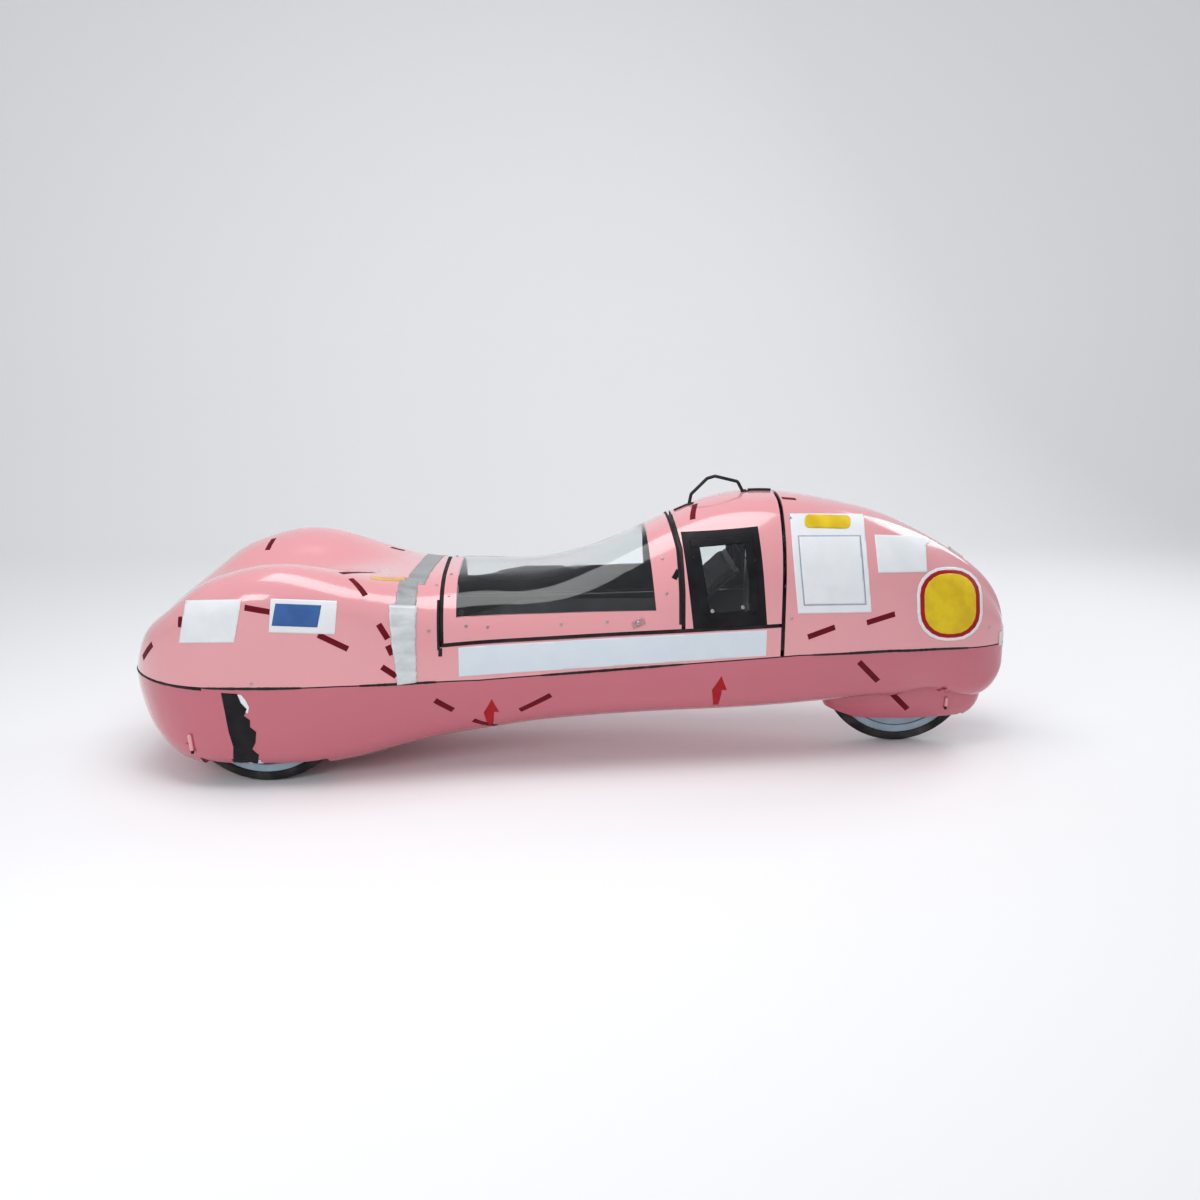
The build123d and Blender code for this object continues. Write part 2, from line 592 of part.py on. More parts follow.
# Lid hinges on the right side: outer barrels on the body, the middle one on the lid
HINGES = [
    ("canopy", CANOPY_HINGE_Y, CANOPY_HINGE_X),
    ("hatch", HATCH_HINGE_Y, HATCH_HINGE_X),
]
for name, hinge_y, places in HINGES:
    fixed, moving = Part(), Part()
    pin_z = sill_z(sum(places) / len(places))
    for x in places:
        for low_x in (x - BARREL_LENGTH * 1.5, x + BARREL_LENGTH / 2):
            high_x = low_x + BARREL_LENGTH
            fixed += rod((low_x, hinge_y, pin_z), (high_x, hinge_y, pin_z), HINGE_BARREL_R)
            leaf_low_z = pin_z - BRACKET_HEIGHT
            leaf = box((low_x, BRACKET_ROOT_Y, leaf_low_z), (high_x, hinge_y, pin_z - HINGE_PIN_R))
            fixed += leaf - outer
        fixed += rod((x - BARREL_LENGTH, hinge_y, pin_z), (x + BARREL_LENGTH, hinge_y, pin_z), HINGE_PIN_R)
        low_x = x - BARREL_LENGTH / 2 + BARREL_GAP
        high_x = x + BARREL_LENGTH / 2 - BARREL_GAP
        knuckle = rod((low_x, hinge_y, pin_z), (high_x, hinge_y, pin_z), HINGE_BARREL_R)
        leaf = box((low_x, BRACKET_ROOT_Y, pin_z + HINGE_PIN_R), (high_x, hinge_y, pin_z + BRACKET_HEIGHT))
        knuckle += leaf - outer
        bore_r = HINGE_PIN_R + RUNNING_FIT
        moving += knuckle - rod((low_x - FAR, hinge_y, pin_z), (high_x + FAR, hinge_y, pin_z), bore_r)
    save(f"{name}_hinge_brackets", big_solids(fixed))
    save(f"{name}_hinge_knuckles", big_solids(moving))

# Bent wire handle on the hatch roof
wire_line = FilletPolyline(*[(x, 0, z) for x, z in HANDLE_LINE], radius=WIRE_BEND)
wire_start = Plane(origin=wire_line @ 0, z_dir=wire_line % 0)
handle = sweep(Face(Wire.make_circle(WIRE_R, wire_start)), wire_line)
save("roof_handle", one_solid(handle - outer))

# Small fittings that stand proud of the shells; a boss is widest in its middle: half width, z
clip_block = box((CLIP_X[0], -CLIP_HALF, RAIL_TOP_Z * 2), (CLIP_X[1], CLIP_HALF, FAR))
latch_block = box((CLIP_X[1], -LATCH_HALF, LATCH_Z[0]), (FAR, LATCH_HALF, LATCH_Z[1]))
BOSS_OUTLINE = [(7, 20), (12, 0), (8, -14)]
bosses = Part()
for x, z in BOSSES:
    outline = [(x - half, z + rise) for half, rise in BOSS_OUTLINE]
    outline += [(x + half, z + rise) for half, rise in reversed(BOSS_OUTLINE)]
    for low_y, high_y in ((-FAR, 0), (0, FAR)):
        bosses += fitting(xz_prism(outline, low_y, high_y))
save("tail_clip", one_solid(fitting(clip_block)))
save("tail_latch", one_solid(fitting(latch_block)))
save("towing_bosses", big_solids(bosses))
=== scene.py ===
import json
import math
import random

import bmesh
import bpy
from mathutils import Matrix, Vector
from mathutils.bvhtree import BVHTree

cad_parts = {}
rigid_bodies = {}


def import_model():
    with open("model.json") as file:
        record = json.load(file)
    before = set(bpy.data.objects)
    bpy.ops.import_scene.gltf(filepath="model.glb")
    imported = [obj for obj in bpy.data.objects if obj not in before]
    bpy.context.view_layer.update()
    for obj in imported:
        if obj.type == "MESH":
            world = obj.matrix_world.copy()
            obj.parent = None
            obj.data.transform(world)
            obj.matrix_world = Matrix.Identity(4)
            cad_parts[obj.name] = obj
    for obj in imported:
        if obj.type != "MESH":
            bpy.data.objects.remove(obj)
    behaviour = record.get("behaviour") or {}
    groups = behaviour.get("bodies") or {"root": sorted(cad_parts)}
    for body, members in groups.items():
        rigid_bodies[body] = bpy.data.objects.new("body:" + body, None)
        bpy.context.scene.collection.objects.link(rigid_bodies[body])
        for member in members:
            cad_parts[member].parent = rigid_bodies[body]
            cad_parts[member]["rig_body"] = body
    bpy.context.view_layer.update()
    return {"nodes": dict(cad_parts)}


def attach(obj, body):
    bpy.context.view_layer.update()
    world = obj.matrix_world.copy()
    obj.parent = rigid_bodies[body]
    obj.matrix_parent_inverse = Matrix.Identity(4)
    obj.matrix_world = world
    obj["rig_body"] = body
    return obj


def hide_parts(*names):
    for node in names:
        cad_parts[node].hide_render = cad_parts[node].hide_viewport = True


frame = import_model()


# Photo studio: a plain pale floor that sweeps up into a backdrop, one wide soft box over the
# vehicle, a fill from the front and a low one from behind. Metres; the floor is at z = 0.
studio_white = (0.94, 0.945, 0.95, 1.0)
daylight = (0.93, 0.95, 1.0, 1.0)
floor_half = 9.0
wall_distance = 4.0
wall_height = 6.0
sweep_radius = 1.2
sweep_steps = 12

profile = [(-floor_half, 0.0), (wall_distance - sweep_radius, 0.0)]
for step in range(1, sweep_steps + 1):
    turn = math.radians(90.0 * step / sweep_steps)
    profile.append((
        wall_distance - sweep_radius * (1.0 - math.sin(turn)), sweep_radius * (1.0 - math.cos(turn))))
profile.append((wall_distance, wall_height))
sweep = bmesh.new()
near_edge = [sweep.verts.new((-floor_half, y, z)) for y, z in profile]
sweep_edges = [sweep.edges.new(pair) for pair in zip(near_edge, near_edge[1:])]
grown = bmesh.ops.extrude_edge_only(sweep, edges=sweep_edges)["geom"]
bmesh.ops.translate(
    sweep, vec=(2 * floor_half, 0, 0), verts=[g for g in grown if isinstance(g, bmesh.types.BMVert)])
bmesh.ops.recalc_face_normals(sweep, faces=sweep.faces)
floor_mesh = bpy.data.meshes.new("studio_floor")
sweep.to_mesh(floor_mesh)
sweep.free()
floor_mesh.shade_smooth()
floor = bpy.data.objects.new("studio_floor", floor_mesh)
bpy.context.scene.collection.objects.link(floor)

floor_paint = bpy.data.materials.new("studio_paint")
floor_paint.use_nodes = True
floor_shader = floor_paint.node_tree.nodes["Principled BSDF"]
floor_shader.inputs["Base Color"].default_value = studio_white
floor_shader.inputs["Roughness"].default_value = 0.7
floor_mesh.materials.append(floor_paint)

world = bpy.data.worlds.new("studio_world")
bpy.context.scene.world = world
world.use_nodes = True
world.node_tree.nodes["Background"].inputs["Color"].default_value = daylight
world.node_tree.nodes["Background"].inputs["Strength"].default_value = 0.55

soft_boxes = [
    # name, place, point it faces, width, height, watts
    ("soft_box_top", (-0.3, -0.6, 3.4), (0.0, 0.0, 0.4), 3.2, 1.6, 62.0),
    ("soft_box_front", (-2.6, -3.4, 2.2), (-0.2, 0.0, 0.4), 1.6, 1.2, 34.0),
    ("soft_box_rear", (3.0, 1.6, 2.4), (0.2, 0.0, 0.5), 1.2, 1.6, 22.0),
]
for name, place, target, width, height, watts in soft_boxes:
    light = bpy.data.lights.new(name, "AREA")
    light.shape = "RECTANGLE"
    light.size = width
    light.size_y = height
    light.energy = watts
    lamp = bpy.data.objects.new(name, light)
    lamp.location = place
    lamp.rotation_euler = (Vector(target) - Vector(place)).to_track_quat("-Z", "Y").to_euler()
    bpy.context.scene.collection.objects.link(lamp)

# The camera stands beside the vehicle at 1.45 m, looks 15 degrees down and a little toward
# the tail, as in the photograph.
camera_place = Vector((-0.087, -3.62, 1.45))
camera_down = math.radians(15.0)
camera_turn = math.radians(2.4)
camera_data = bpy.data.cameras.new("camera")
camera_data.lens = 36.0
camera_data.sensor_width = 36.0
camera = bpy.data.objects.new("camera", camera_data)
camera.location = camera_place
camera.rotation_euler = (math.radians(90.0) - camera_down, 0.0, -camera_turn)
bpy.context.scene.collection.objects.link(camera)
bpy.context.scene.camera = camera
bpy.context.scene.view_settings.view_transform = "Standard"


# Painted shells: five hand-laid glass fibre mouldings with a glossy gel coat, brushed on, salmon
# pink above the parting line, darker below it as painted shade. The black laminate is left bare inside.
class Finish:
    """A node material whose patterns lie on the piece's own coordinates."""

    def __init__(self, name):
        self.material = bpy.data.materials.new(name)
        self.material.use_nodes = True
        self.tree = self.material.node_tree
        self.shader = self.tree.nodes["Principled BSDF"]
        self.place = self.tree.nodes.new("ShaderNodeTexCoord").outputs["Object"]

    def noise(self, scale, detail=3.0, rough=0.5, stretch=(1, 1, 1)):
        """A noise pattern, drawn out along an axis by stretch."""
        mapping = self.tree.nodes.new("ShaderNodeMapping")
        mapping.inputs["Scale"].default_value = stretch
        self.tree.links.new(self.place, mapping.inputs["Vector"])
        node = self.tree.nodes.new("ShaderNodeTexNoise")
        node.inputs["Scale"].default_value = scale
        node.inputs["Detail"].default_value = detail
        node.inputs["Roughness"].default_value = rough
        self.tree.links.new(mapping.outputs["Vector"], node.inputs["Vector"])
        return node.outputs["Fac"]

    def threads(self, scale, direction="X"):
        """Bands across one axis, as of a weave."""
        node = self.tree.nodes.new("ShaderNodeTexWave")
        node.inputs["Scale"].default_value = scale
        node.bands_direction = direction
        self.tree.links.new(self.place, node.inputs["Vector"])
        return node.outputs["Fac"]

    def set(self, socket, value):
        """One value all over the surface, on the shader's own socket."""
        self.shader.inputs[socket].default_value = value

    def feed(self, socket, pattern, low, high):
        """Spreads a pattern between two (position, colour or level) stops into a socket."""
        node = self.tree.nodes.new("ShaderNodeValToRGB")
        for element, (position, colour) in zip(node.color_ramp.elements, (low, high)):
            element.position = position
            element.color = colour if isinstance(colour, tuple) else (colour, colour, colour, 1.0)
        self.tree.links.new(pattern, node.inputs["Fac"])
        self.tree.links.new(node.outputs["Color"], self.shader.inputs[socket])

    def bump(self, *heights):
        """Stacks (height, strength, distance) patterns into one normal."""
        last = None
        for height, strength, distance in heights:
            node = self.tree.nodes.new("ShaderNodeBump")
            node.inputs["Strength"].default_value = strength
            node.inputs["Distance"].default_value = distance
            self.tree.links.new(height, node.inputs["Height"])
            if last:
                self.tree.links.new(last, node.inputs["Normal"])
            last = node.outputs["Normal"]
        self.tree.links.new(last, self.shader.inputs["Normal"])


def gel(name, colour, shade):
    """Brushed-on gel coat under a clear gloss, uneven in tone, with a long soft ripple."""
    coat = Finish(name)
    coat.feed("Base Color", coat.noise(2.2), (0.15, shade), (0.85, colour))
    coat.feed("Roughness", coat.noise(6.0, stretch=(0.5, 1, 1)), (0.15, 0.17), (0.95, 0.25))
    coat.set("Coat Weight", 1.0)
    coat.set("Coat Roughness", 0.07)
    coat.bump((coat.noise(4.0, 1.0), 0.25, 0.004))
    return coat.material


upper_gel = gel("pink_gel_coat", (0.78, 0.335, 0.360, 1.0), (0.74, 0.300, 0.325, 1.0))
# The lower moulding's deeper pink is the same gel coat, darkened as painted shade.
shaded_lower_gel = gel("shaded_pink_gel_coat", (0.54, 0.105, 0.150, 1.0), (0.50, 0.090, 0.132, 1.0))
bare = Finish("bare_laminate")
bare.set("Base Color", (0.012, 0.012, 0.014, 1.0))
bare.feed("Roughness", bare.noise(60.0), (0.3, 0.35), (0.7, 0.7))
bare.bump((bare.threads(90.0), 0.3, 0.0006))
laminate = bare.material

weld_reach = 0.00002
sliver_reach = 0.00001
shell_crease = 34.0
shell_axis_z = 0.33
inward_lean = -0.2
skins = {}


def merged_copy(node, material):
    """A welded, smooth-shaded copy of a CAD node, which it stands for."""
    source = frame["nodes"][node]
    mesh = source.data.copy()
    mesh.name = node + "_skin"
    welded = bmesh.new()
    welded.from_mesh(mesh)
    bmesh.ops.remove_doubles(welded, verts=welded.verts, dist=weld_reach)
    bmesh.ops.dissolve_degenerate(welded, edges=welded.edges, dist=sliver_reach)
    welded.to_mesh(mesh)
    welded.free()
    if mesh.attributes.get("custom_normal"):
        mesh.attributes.remove(mesh.attributes["custom_normal"])
    mesh.materials.clear()
    mesh.materials.append(material)
    mesh.shade_smooth()
    mesh.set_sharp_from_angle(angle=math.radians(shell_crease))
    piece = bpy.data.objects.new(mesh.name, mesh)
    bpy.context.scene.collection.objects.link(piece)
    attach(piece, source["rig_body"])
    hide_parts(node)
    skins[node] = piece


def finished(material, slot, *nodes):
    """Gives one finish to CAD nodes that keep their own shape."""
    for node in nodes:
        merged_copy(node, material)


finished(shaded_lower_gel, "pink_shell", "lower_shell")
finished(upper_gel, "pink_shell", "nose_shell", "tail_shell", "canopy_frame", "hatch_shell")
for shell in skins.values():
    shell.data.materials.append(laminate)
    for polygon in shell.data.polygons:
        outward = Vector((0.0, polygon.center.y, polygon.center.z - shell_axis_z))
        if polygon.normal.dot(outward.normalized()) < inward_lean:
            polygon.material_index = 1


# Seal in the parting line: a black rubber lip that runs right round the body, clamped between
# the lower and the upper mouldings.
def rubber(name, colour, shade, grain=220.0):
    """Matt rubber or soft plastic with a fine grain and dusty patches."""
    soft = Finish(name)
    soft.set("Specular IOR Level", 0.25)
    soft.feed("Base Color", soft.noise(12.0, 5.0), (0.4, colour), (0.75, shade))
    soft.feed("Roughness", soft.noise(25.0), (0.3, 0.55), (0.7, 0.85))
    soft.bump((soft.noise(grain, 2.0), 0.25, 0.0004))
    return soft.material


seal_rubber = rubber("seal_rubber", (0.008, 0.008, 0.009, 1.0), (0.03, 0.03, 0.03, 1.0))
finished(seal_rubber, "black_seal", "parting_seal")


# Clear sheets: thin bent plastic, screwed to the canopy's frame and into the hatch's sides. The
# hatch's two windows are edged with black tape.
def clear(name, tint, haze):
    """A clear bent sheet with wiped smears and dust."""
    sheet = Finish(name)
    sheet.set("Base Color", tint)
    sheet.set("Transmission Weight", 1.0)
    sheet.set("IOR", 1.12)
    sheet.feed("Roughness", sheet.noise(7.0, 5.0, 0.6, (1, 1, 2.5)), (0.5, 0.02), (0.75, haze))
    sheet.set("Coat Weight", 0.5)
    sheet.set("Coat Roughness", 0.05)
    sheet.bump((sheet.noise(4.0, 2.0), 0.15, 0.003))
    return sheet.material


def film(name, colour, shade, roughness=0.35, gloss=0.2):
    """A printed or cut adhesive film, a little faded and rippled."""
    foil = Finish(name)
    foil.set("Specular IOR Level", gloss)
    foil.feed("Base Color", foil.noise(18.0, 4.0), (0.35, shade), (0.6, colour))
    foil.feed("Roughness", foil.noise(30.0), (0.3, roughness), (0.7, roughness + 0.2))
    foil.bump((foil.noise(35.0, 2.0), 0.15, 0.0008))
    return foil.material


clear_sheet = clear("clear_sheet", (0.93, 0.96, 0.96, 1.0), 0.22)
black_tape = film("black_tape", (0.008, 0.008, 0.010, 1.0), (0.014, 0.014, 0.016, 1.0), 0.3, 0.12)
finished(clear_sheet, "clear_sheet", "canopy_glazing", "hatch_window_left", "hatch_window_right")
finished(black_tape, "black_frame", "hatch_window_frame_left", "hatch_window_frame_right")


# Frame and running gear: square aluminium tubes welded into a ladder under the seat, with turned
# steel for the axles, the steering arms, the tie rod and the lids' hinges.
def metal(name, colour, shade, roughness, stretch):
    """Drawn or turned metal with scratches along one axis."""
    stock = Finish(name)
    stock.set("Metallic", 1.0)
    stock.feed("Base Color", stock.noise(9.0, 4.0), (0.3, shade), (0.65, colour))
    scratches = stock.noise(150.0, 3.0, 0.6, stretch)
    stock.feed("Roughness", scratches, (0.3, roughness), (0.7, roughness + 0.22))
    stock.bump((scratches, 0.12, 0.0003))
    return stock.material


aluminium = metal(
    "drawn_aluminium", (0.62, 0.63, 0.65, 1.0), (0.45, 0.46, 0.48, 1.0), 0.28, (0.05, 1, 1))
steel = metal("turned_steel", (0.50, 0.50, 0.51, 1.0), (0.33, 0.33, 0.34, 1.0), 0.3, (1, 0.1, 1))
finished(
    aluminium, "frame_tube", "frame_rail_left", "frame_rail_right", "rear_crossmember", "shell_posts",
    "front_axle_beam", "steering_socket", "rear_fork_left", "rear_fork_right", "roll_hoop")
finished(
    steel, "steel", "rear_axle", "knuckle_left", "knuckle_right", "tie_rod", "canopy_hinge_brackets",
    "canopy_hinge_knuckles", "hatch_hinge_brackets", "hatch_hinge_knuckles")

# Steering bar and bent roof handle in black paint, the bulkhead's flat black panel, the tail's
# clip and latch in off-white plastic, the towing bosses laid up with the shells, and the blue
# wheel discs of moulded plastic.
black_paint = film("black_paint", (0.015, 0.015, 0.016, 1.0), (0.03, 0.03, 0.032, 1.0), 0.3)
black_panel = film("black_panel", (0.02, 0.02, 0.022, 1.0), (0.01, 0.01, 0.012, 1.0), 0.4)
off_white = film("off_white_plastic", (0.75, 0.73, 0.69, 1.0), (0.66, 0.63, 0.58, 1.0), 0.35, 0.5)
disc_blue = film("disc_blue", (0.36, 0.48, 0.57, 1.0), (0.30, 0.41, 0.49, 1.0), 0.3, 0.5)
finished(black_paint, "black_bar", "steering_bar")
finished(black_paint, "black_wire", "roof_handle")
finished(black_panel, "black_panel", "bulkhead")
finished(off_white, "clip", "tail_clip", "tail_latch")
# The towing bosses take the lower moulding's darker pink, which is painted shade.
finished(shaded_lower_gel, "pink_shell", "towing_bosses")
finished(disc_blue, "wheel_disc", "front_left_wheel", "front_right_wheel", "rear_wheel")


# Dark red dashes and two red arrows, cut from adhesive film and pressed onto the shells. Each
# film is cut flat to its outline, laid at a place and turn, and cast onto the skin under it.
film_lift = 0.0003
film_cell = 0.006
cast_reach = 0.12
default_crease = 35.0


def skin_tree(*nodes):
    """One search tree of the outer skins of several nodes."""
    points = []
    faces = []
    for node in nodes:
        mesh = skins[node].data
        first = len(points)
        points += [vertex.co.copy() for vertex in mesh.vertices]
        faces += [[first + index for index in polygon.vertices] for polygon in mesh.polygons]
    return BVHTree.FromPolygons(points, faces)


skin_of = {
    "body": skin_tree("lower_shell", "nose_shell", "tail_shell", "parting_seal"),
    "canopy": skin_tree("canopy_frame", "canopy_glazing"),
    "hatch": skin_tree(
        "hatch_shell", "hatch_window_frame_left", "hatch_window_frame_right", "hatch_window_left",
        "hatch_window_right"),
}
hands = ((-1, "left"), (1, "right"))


def cast(body, start, direction):
    """Place and normal where a ray meets a body's skin."""
    place, normal, _, _ = skin_of[body].ray_cast(Vector(start), Vector(direction))
    return place, normal


def new_piece(name, shape, material, body, crease=default_crease, flat=False):
    """An object made of a bmesh, smooth up to the crease angle, riding on a body."""
    if not flat:
        bmesh.ops.recalc_face_normals(shape, faces=shape.faces)
    mesh = bpy.data.meshes.new(name)
    shape.to_mesh(mesh)
    shape.free()
    mesh.materials.append(material)
    mesh.shade_smooth()
    mesh.set_sharp_from_angle(angle=math.radians(crease))
    piece = bpy.data.objects.new(name, mesh)
    bpy.context.scene.collection.objects.link(piece)
    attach(piece, body)
    return piece


def thicken(piece, wall, offset=0.0):
    """Gives a film, tape or band its thickness."""
    thick = piece.modifiers.new("thickness", "SOLIDIFY")
    thick.thickness = wall
    thick.offset = offset


def sliced(shape, axis):
    """Cuts a flat film across one axis at every cell."""
    reach = [vertex.co[axis] for vertex in shape.verts]
    normal = Vector((0, 0, 0))
    normal[axis] = 1.0
    for step in range(1, math.ceil((max(reach) - min(reach)) / film_cell)):
        bmesh.ops.bisect_plane(
            shape, geom=shape.verts[:] + shape.edges[:] + shape.faces[:],
            plane_co=normal * (min(reach) + step * film_cell), plane_no=normal)


def pressed(name, outline, centre, turn, material, body="body", facing=None, layer=1):
    """A film cut to an outline and pressed onto a body's skin at centre."""
    outward = Vector(facing or (0.0, centre[1], centre[2] - shell_axis_z)).normalized()
    hit, normal = cast(body, Vector(centre) + outward * cast_reach, -outward)
    if facing:
        normal = outward
    along = (Vector((1, 0, 0)) - normal * normal.x).normalized()
    upward = normal.cross(along)
    if upward.z < 0:
        upward.negate()
    shape = bmesh.new()
    shape.faces.new([shape.verts.new((u, v, 0)) for u, v in outline])
    bmesh.ops.triangulate(shape, faces=shape.faces[:])
    sliced(shape, 0)
    sliced(shape, 1)
    turned = Matrix.Rotation(math.radians(turn), 3, "Z")
    for vertex in shape.verts:
        cut = turned @ vertex.co
        over = hit + along * cut.x + upward * cut.y
        place, outward = cast(body, over + normal * cast_reach, -normal)
        if place is None:
            place, outward, _, _ = skin_of[body].find_nearest(over)
        vertex.co = place + outward * film_lift * layer
    if along.cross(upward).dot(normal) < 0:
        bmesh.ops.reverse_faces(shape, faces=shape.faces[:])
    piece = new_piece(name, shape, material, body, flat=True)
    thicken(piece, film_lift, 1.0)


def leaning(width, height, lean=0.0):
    """A four-cornered film whose top edge sits lean further back than its bottom edge."""
    low, high = -lean / 2, lean / 2
    return [
        (low - width / 2, -height / 2), (low + width / 2, -height / 2),
        (high + width / 2, height / 2), (high - width / 2, height / 2)]


maroon = film("maroon_tape", (0.15, 0.004, 0.012, 1.0), (0.12, 0.003, 0.010, 1.0), 0.4, 0.1)
dash_width = 0.017
dashes = [
    # place on the skin, turn, length, body
    ((-0.984, 0.183, 0.631), -99.0, 0.066, "body"),
    ((-0.636, -0.282, 0.602), -47.0, 0.073, "body"),
    ((-0.905, -0.368, 0.560), -10.0, 0.070, "body"),
    ((-1.266, -0.229, 0.401), -145.0, 0.085, "body"),
    ((-1.135, -0.318, 0.514), -92.0, 0.030, "body"),
    ((-0.704, -0.351, 0.459), -30.0, 0.092, "body"),
    ((-0.566, -0.324, 0.480), -61.0, 0.050, "body"),
    ((-0.549, -0.326, 0.425), -67.0, 0.030, "body"),
    ((-0.554, -0.329, 0.362), -38.0, 0.050, "body"),
    ((-0.582, 0.205, 0.611), 10.0, 0.045, "body"),
    ((-0.404, -0.291, 0.244), -40.0, 0.066, "body"),
    ((-0.290, -0.226, 0.161), -43.0, 0.090, "body"),
    ((-0.138, -0.258, 0.236), 30.0, 0.107, "body"),
    ((0.344, -0.071, 0.775), -102.0, 0.100, "hatch"),
    ((0.632, -0.072, 0.812), 5.0, 0.044, "body"),
    ((0.715, -0.225, 0.433), 18.0, 0.087, "body"),
    ((0.900, -0.195, 0.465), 14.0, 0.092, "body"),
    ((0.874, -0.190, 0.296), -47.0, 0.104, "body"),
]
for number, (centre, turn, length, body) in enumerate(dashes):
    pressed(f"dash_{number}", leaning(length, dash_width), centre, turn, maroon, body)
pressed(
    "dash_hood", leaning(0.150, dash_width), (-0.655, -0.175, 0.626), 62.0, maroon,
    facing=(0, -0.2, 1))
pressed(
    "dash_fairing", leaning(0.078, dash_width), (1.010, -0.085, 0.158), -45.0, maroon,
    facing=(0, -1, 0))

arrow_red = film("red_film", (0.40, 0.004, 0.012, 1.0), (0.34, 0.003, 0.010, 1.0))
arrow_length = 0.120
arrow_turn = 86.0
arrow_outline = [
    # in lengths of the arrow
    (-0.50, -0.065), (0.08, -0.065), (0.08, -0.19), (0.50, 0.0), (0.08, 0.19), (0.08, 0.065),
    (-0.50, 0.065),
]
arrow = [(u * arrow_length, v * arrow_length) for u, v in arrow_outline]
for number, (x, y, z) in enumerate([(-0.269, 0.252, 0.200), (0.413, 0.226, 0.248)]):
    for side, hand in hands:
        pressed(
            f"arrow_{number}_{hand}", arrow, (x, side * y, z), arrow_turn, arrow_red)


# Labels: adhesive films, pressed on by hand on both sides and left bare. White fields, a plain
# blue panel, a plate with a thin frame and a yellow top, and a yellow sticker with a red line.
# Each is cast from where the camera stands, so that its outline looks flat from there.
white_film = film("white_film", (0.80, 0.82, 0.84, 1.0), (0.76, 0.79, 0.81, 1.0), 0.3, 0.4)
pale_film = film("pale_film", (0.66, 0.73, 0.78, 1.0), (0.64, 0.71, 0.765, 1.0), 0.3, 0.5)
blue_film = film("blue_film", (0.045, 0.13, 0.36, 1.0), (0.035, 0.10, 0.29, 1.0))
yellow_film = film("yellow_film", (0.78, 0.56, 0.015, 1.0), (0.66, 0.44, 0.012, 1.0))
faded_yellow = film("faded_yellow_film", (0.74, 0.44, 0.12, 1.0), (0.66, 0.36, 0.10, 1.0))
line_film = film("grey_line_film", (0.36, 0.42, 0.48, 1.0), (0.30, 0.35, 0.41, 1.0))
corner_steps = 5


def rounded(width, height, radius):
    """A rectangle with round corners."""
    outline = []
    for corner, (sx, sy) in enumerate(((1, 1), (-1, 1), (-1, -1), (1, -1))):
        for step in range(corner_steps + 1):
            angle = math.radians(90.0 * (corner + step / corner_steps))
            outline.append((
                sx * (width / 2 - radius) + radius * math.cos(angle),
                sy * (height / 2 - radius) + radius * math.sin(angle)))
    return outline


# The rear label's upper rear corner has come loose and points outward.
loose_corner = [
    (-0.065, -0.056), (0.077, -0.056), (0.073, 0.024), (0.090, 0.037), (0.065, 0.053), (-0.077, 0.058)]
plate_middle = (0.742, -0.208, 0.618)
emblem_middle = (1.126, -0.141, 0.493)
labels = [
    # name, outline, place on the left skin, turn, film, layer
    ("front_label", leaning(0.148, 0.120, 0.019), (-1.043, -0.348, 0.523), 0.0, white_film, 2),
    ("panel_label", leaning(0.180, 0.094, 0.003), (-0.781, -0.363, 0.538), -2.5, white_film, 2),
    ("panel_blue", leaning(0.124, 0.062, 0.008), (-0.798, -0.365, 0.542), -3.0, blue_film, 4),
    ("rear_label", loose_corner, (0.962, -0.148, 0.652), 0.0, white_film, 2),
    ("plate_field", leaning(0.215, 0.296, -0.023), (0.738, -0.204, 0.639), 0.0, white_film, 2),
    ("plate_line", leaning(0.183, 0.207, -0.016), plate_middle, 0.0, line_film, 4),
    ("plate_inner", leaning(0.175, 0.199, -0.016), plate_middle, 0.0, white_film, 6),
    ("plate_top", rounded(0.134, 0.040, 0.014), (0.736, -0.143, 0.751), -2.0, yellow_film, 4),
    ("round_margin", rounded(0.192, 0.226, 0.084), emblem_middle, 0.0, white_film, 2),
    ("round_line", rounded(0.174, 0.208, 0.076), emblem_middle, 0.0, arrow_red, 4),
    ("round_field", rounded(0.150, 0.184, 0.066), emblem_middle, 0.0, yellow_film, 6),
]
for name, outline, (x, y, z), turn, material, layer in labels:
    for side, hand in hands:
        place = Vector((x, -side * y, z))
        onlooker = Vector((camera_place.x, -side * camera_place.y, camera_place.z))
        pressed(
            f"{name}_{hand}", outline, place, turn, material, facing=onlooker - place,
            layer=layer)
pressed(
    "hood_sticker", rounded(0.118, 0.030, 0.010), (-0.558, -0.194, 0.606), 24.0, faded_yellow)


# Pale strip under the lids on each side: one long adhesive film, pressed onto the side band, whose
# top edge runs just under the seam of the lids.
sill_front = Vector((-0.405, 0.427))
sill_rear = Vector((0.598, 0.458))
strip_centre = (0.095, 0.265, 0.396)
strip_front_x = -0.358
strip_rear_x = 0.549
strip_gap = 0.010


def sill_z(x):
    """Height of the seam under the lids at x."""
    return sill_front.y + (x - sill_front.x) / (sill_rear.x - sill_front.x) * (sill_rear.y - sill_front.y)


def about(centre, corners):
    """Corners given as (x, z) on the vehicle, measured from a film's centre."""
    return [(x - centre[0], z - centre[2]) for x, z in corners]


strip_outline = about(strip_centre, [
    (strip_front_x, 0.331), (strip_rear_x, 0.367), (strip_rear_x, sill_z(strip_rear_x) - strip_gap),
    (strip_front_x, sill_z(strip_front_x) - strip_gap)])
for side, hand in hands:
    x, y, z = strip_centre
    pressed(
        f"side_strip_{hand}", strip_outline, (x, side * y, z), 0.0, pale_film,
        facing=(0, side, 0))


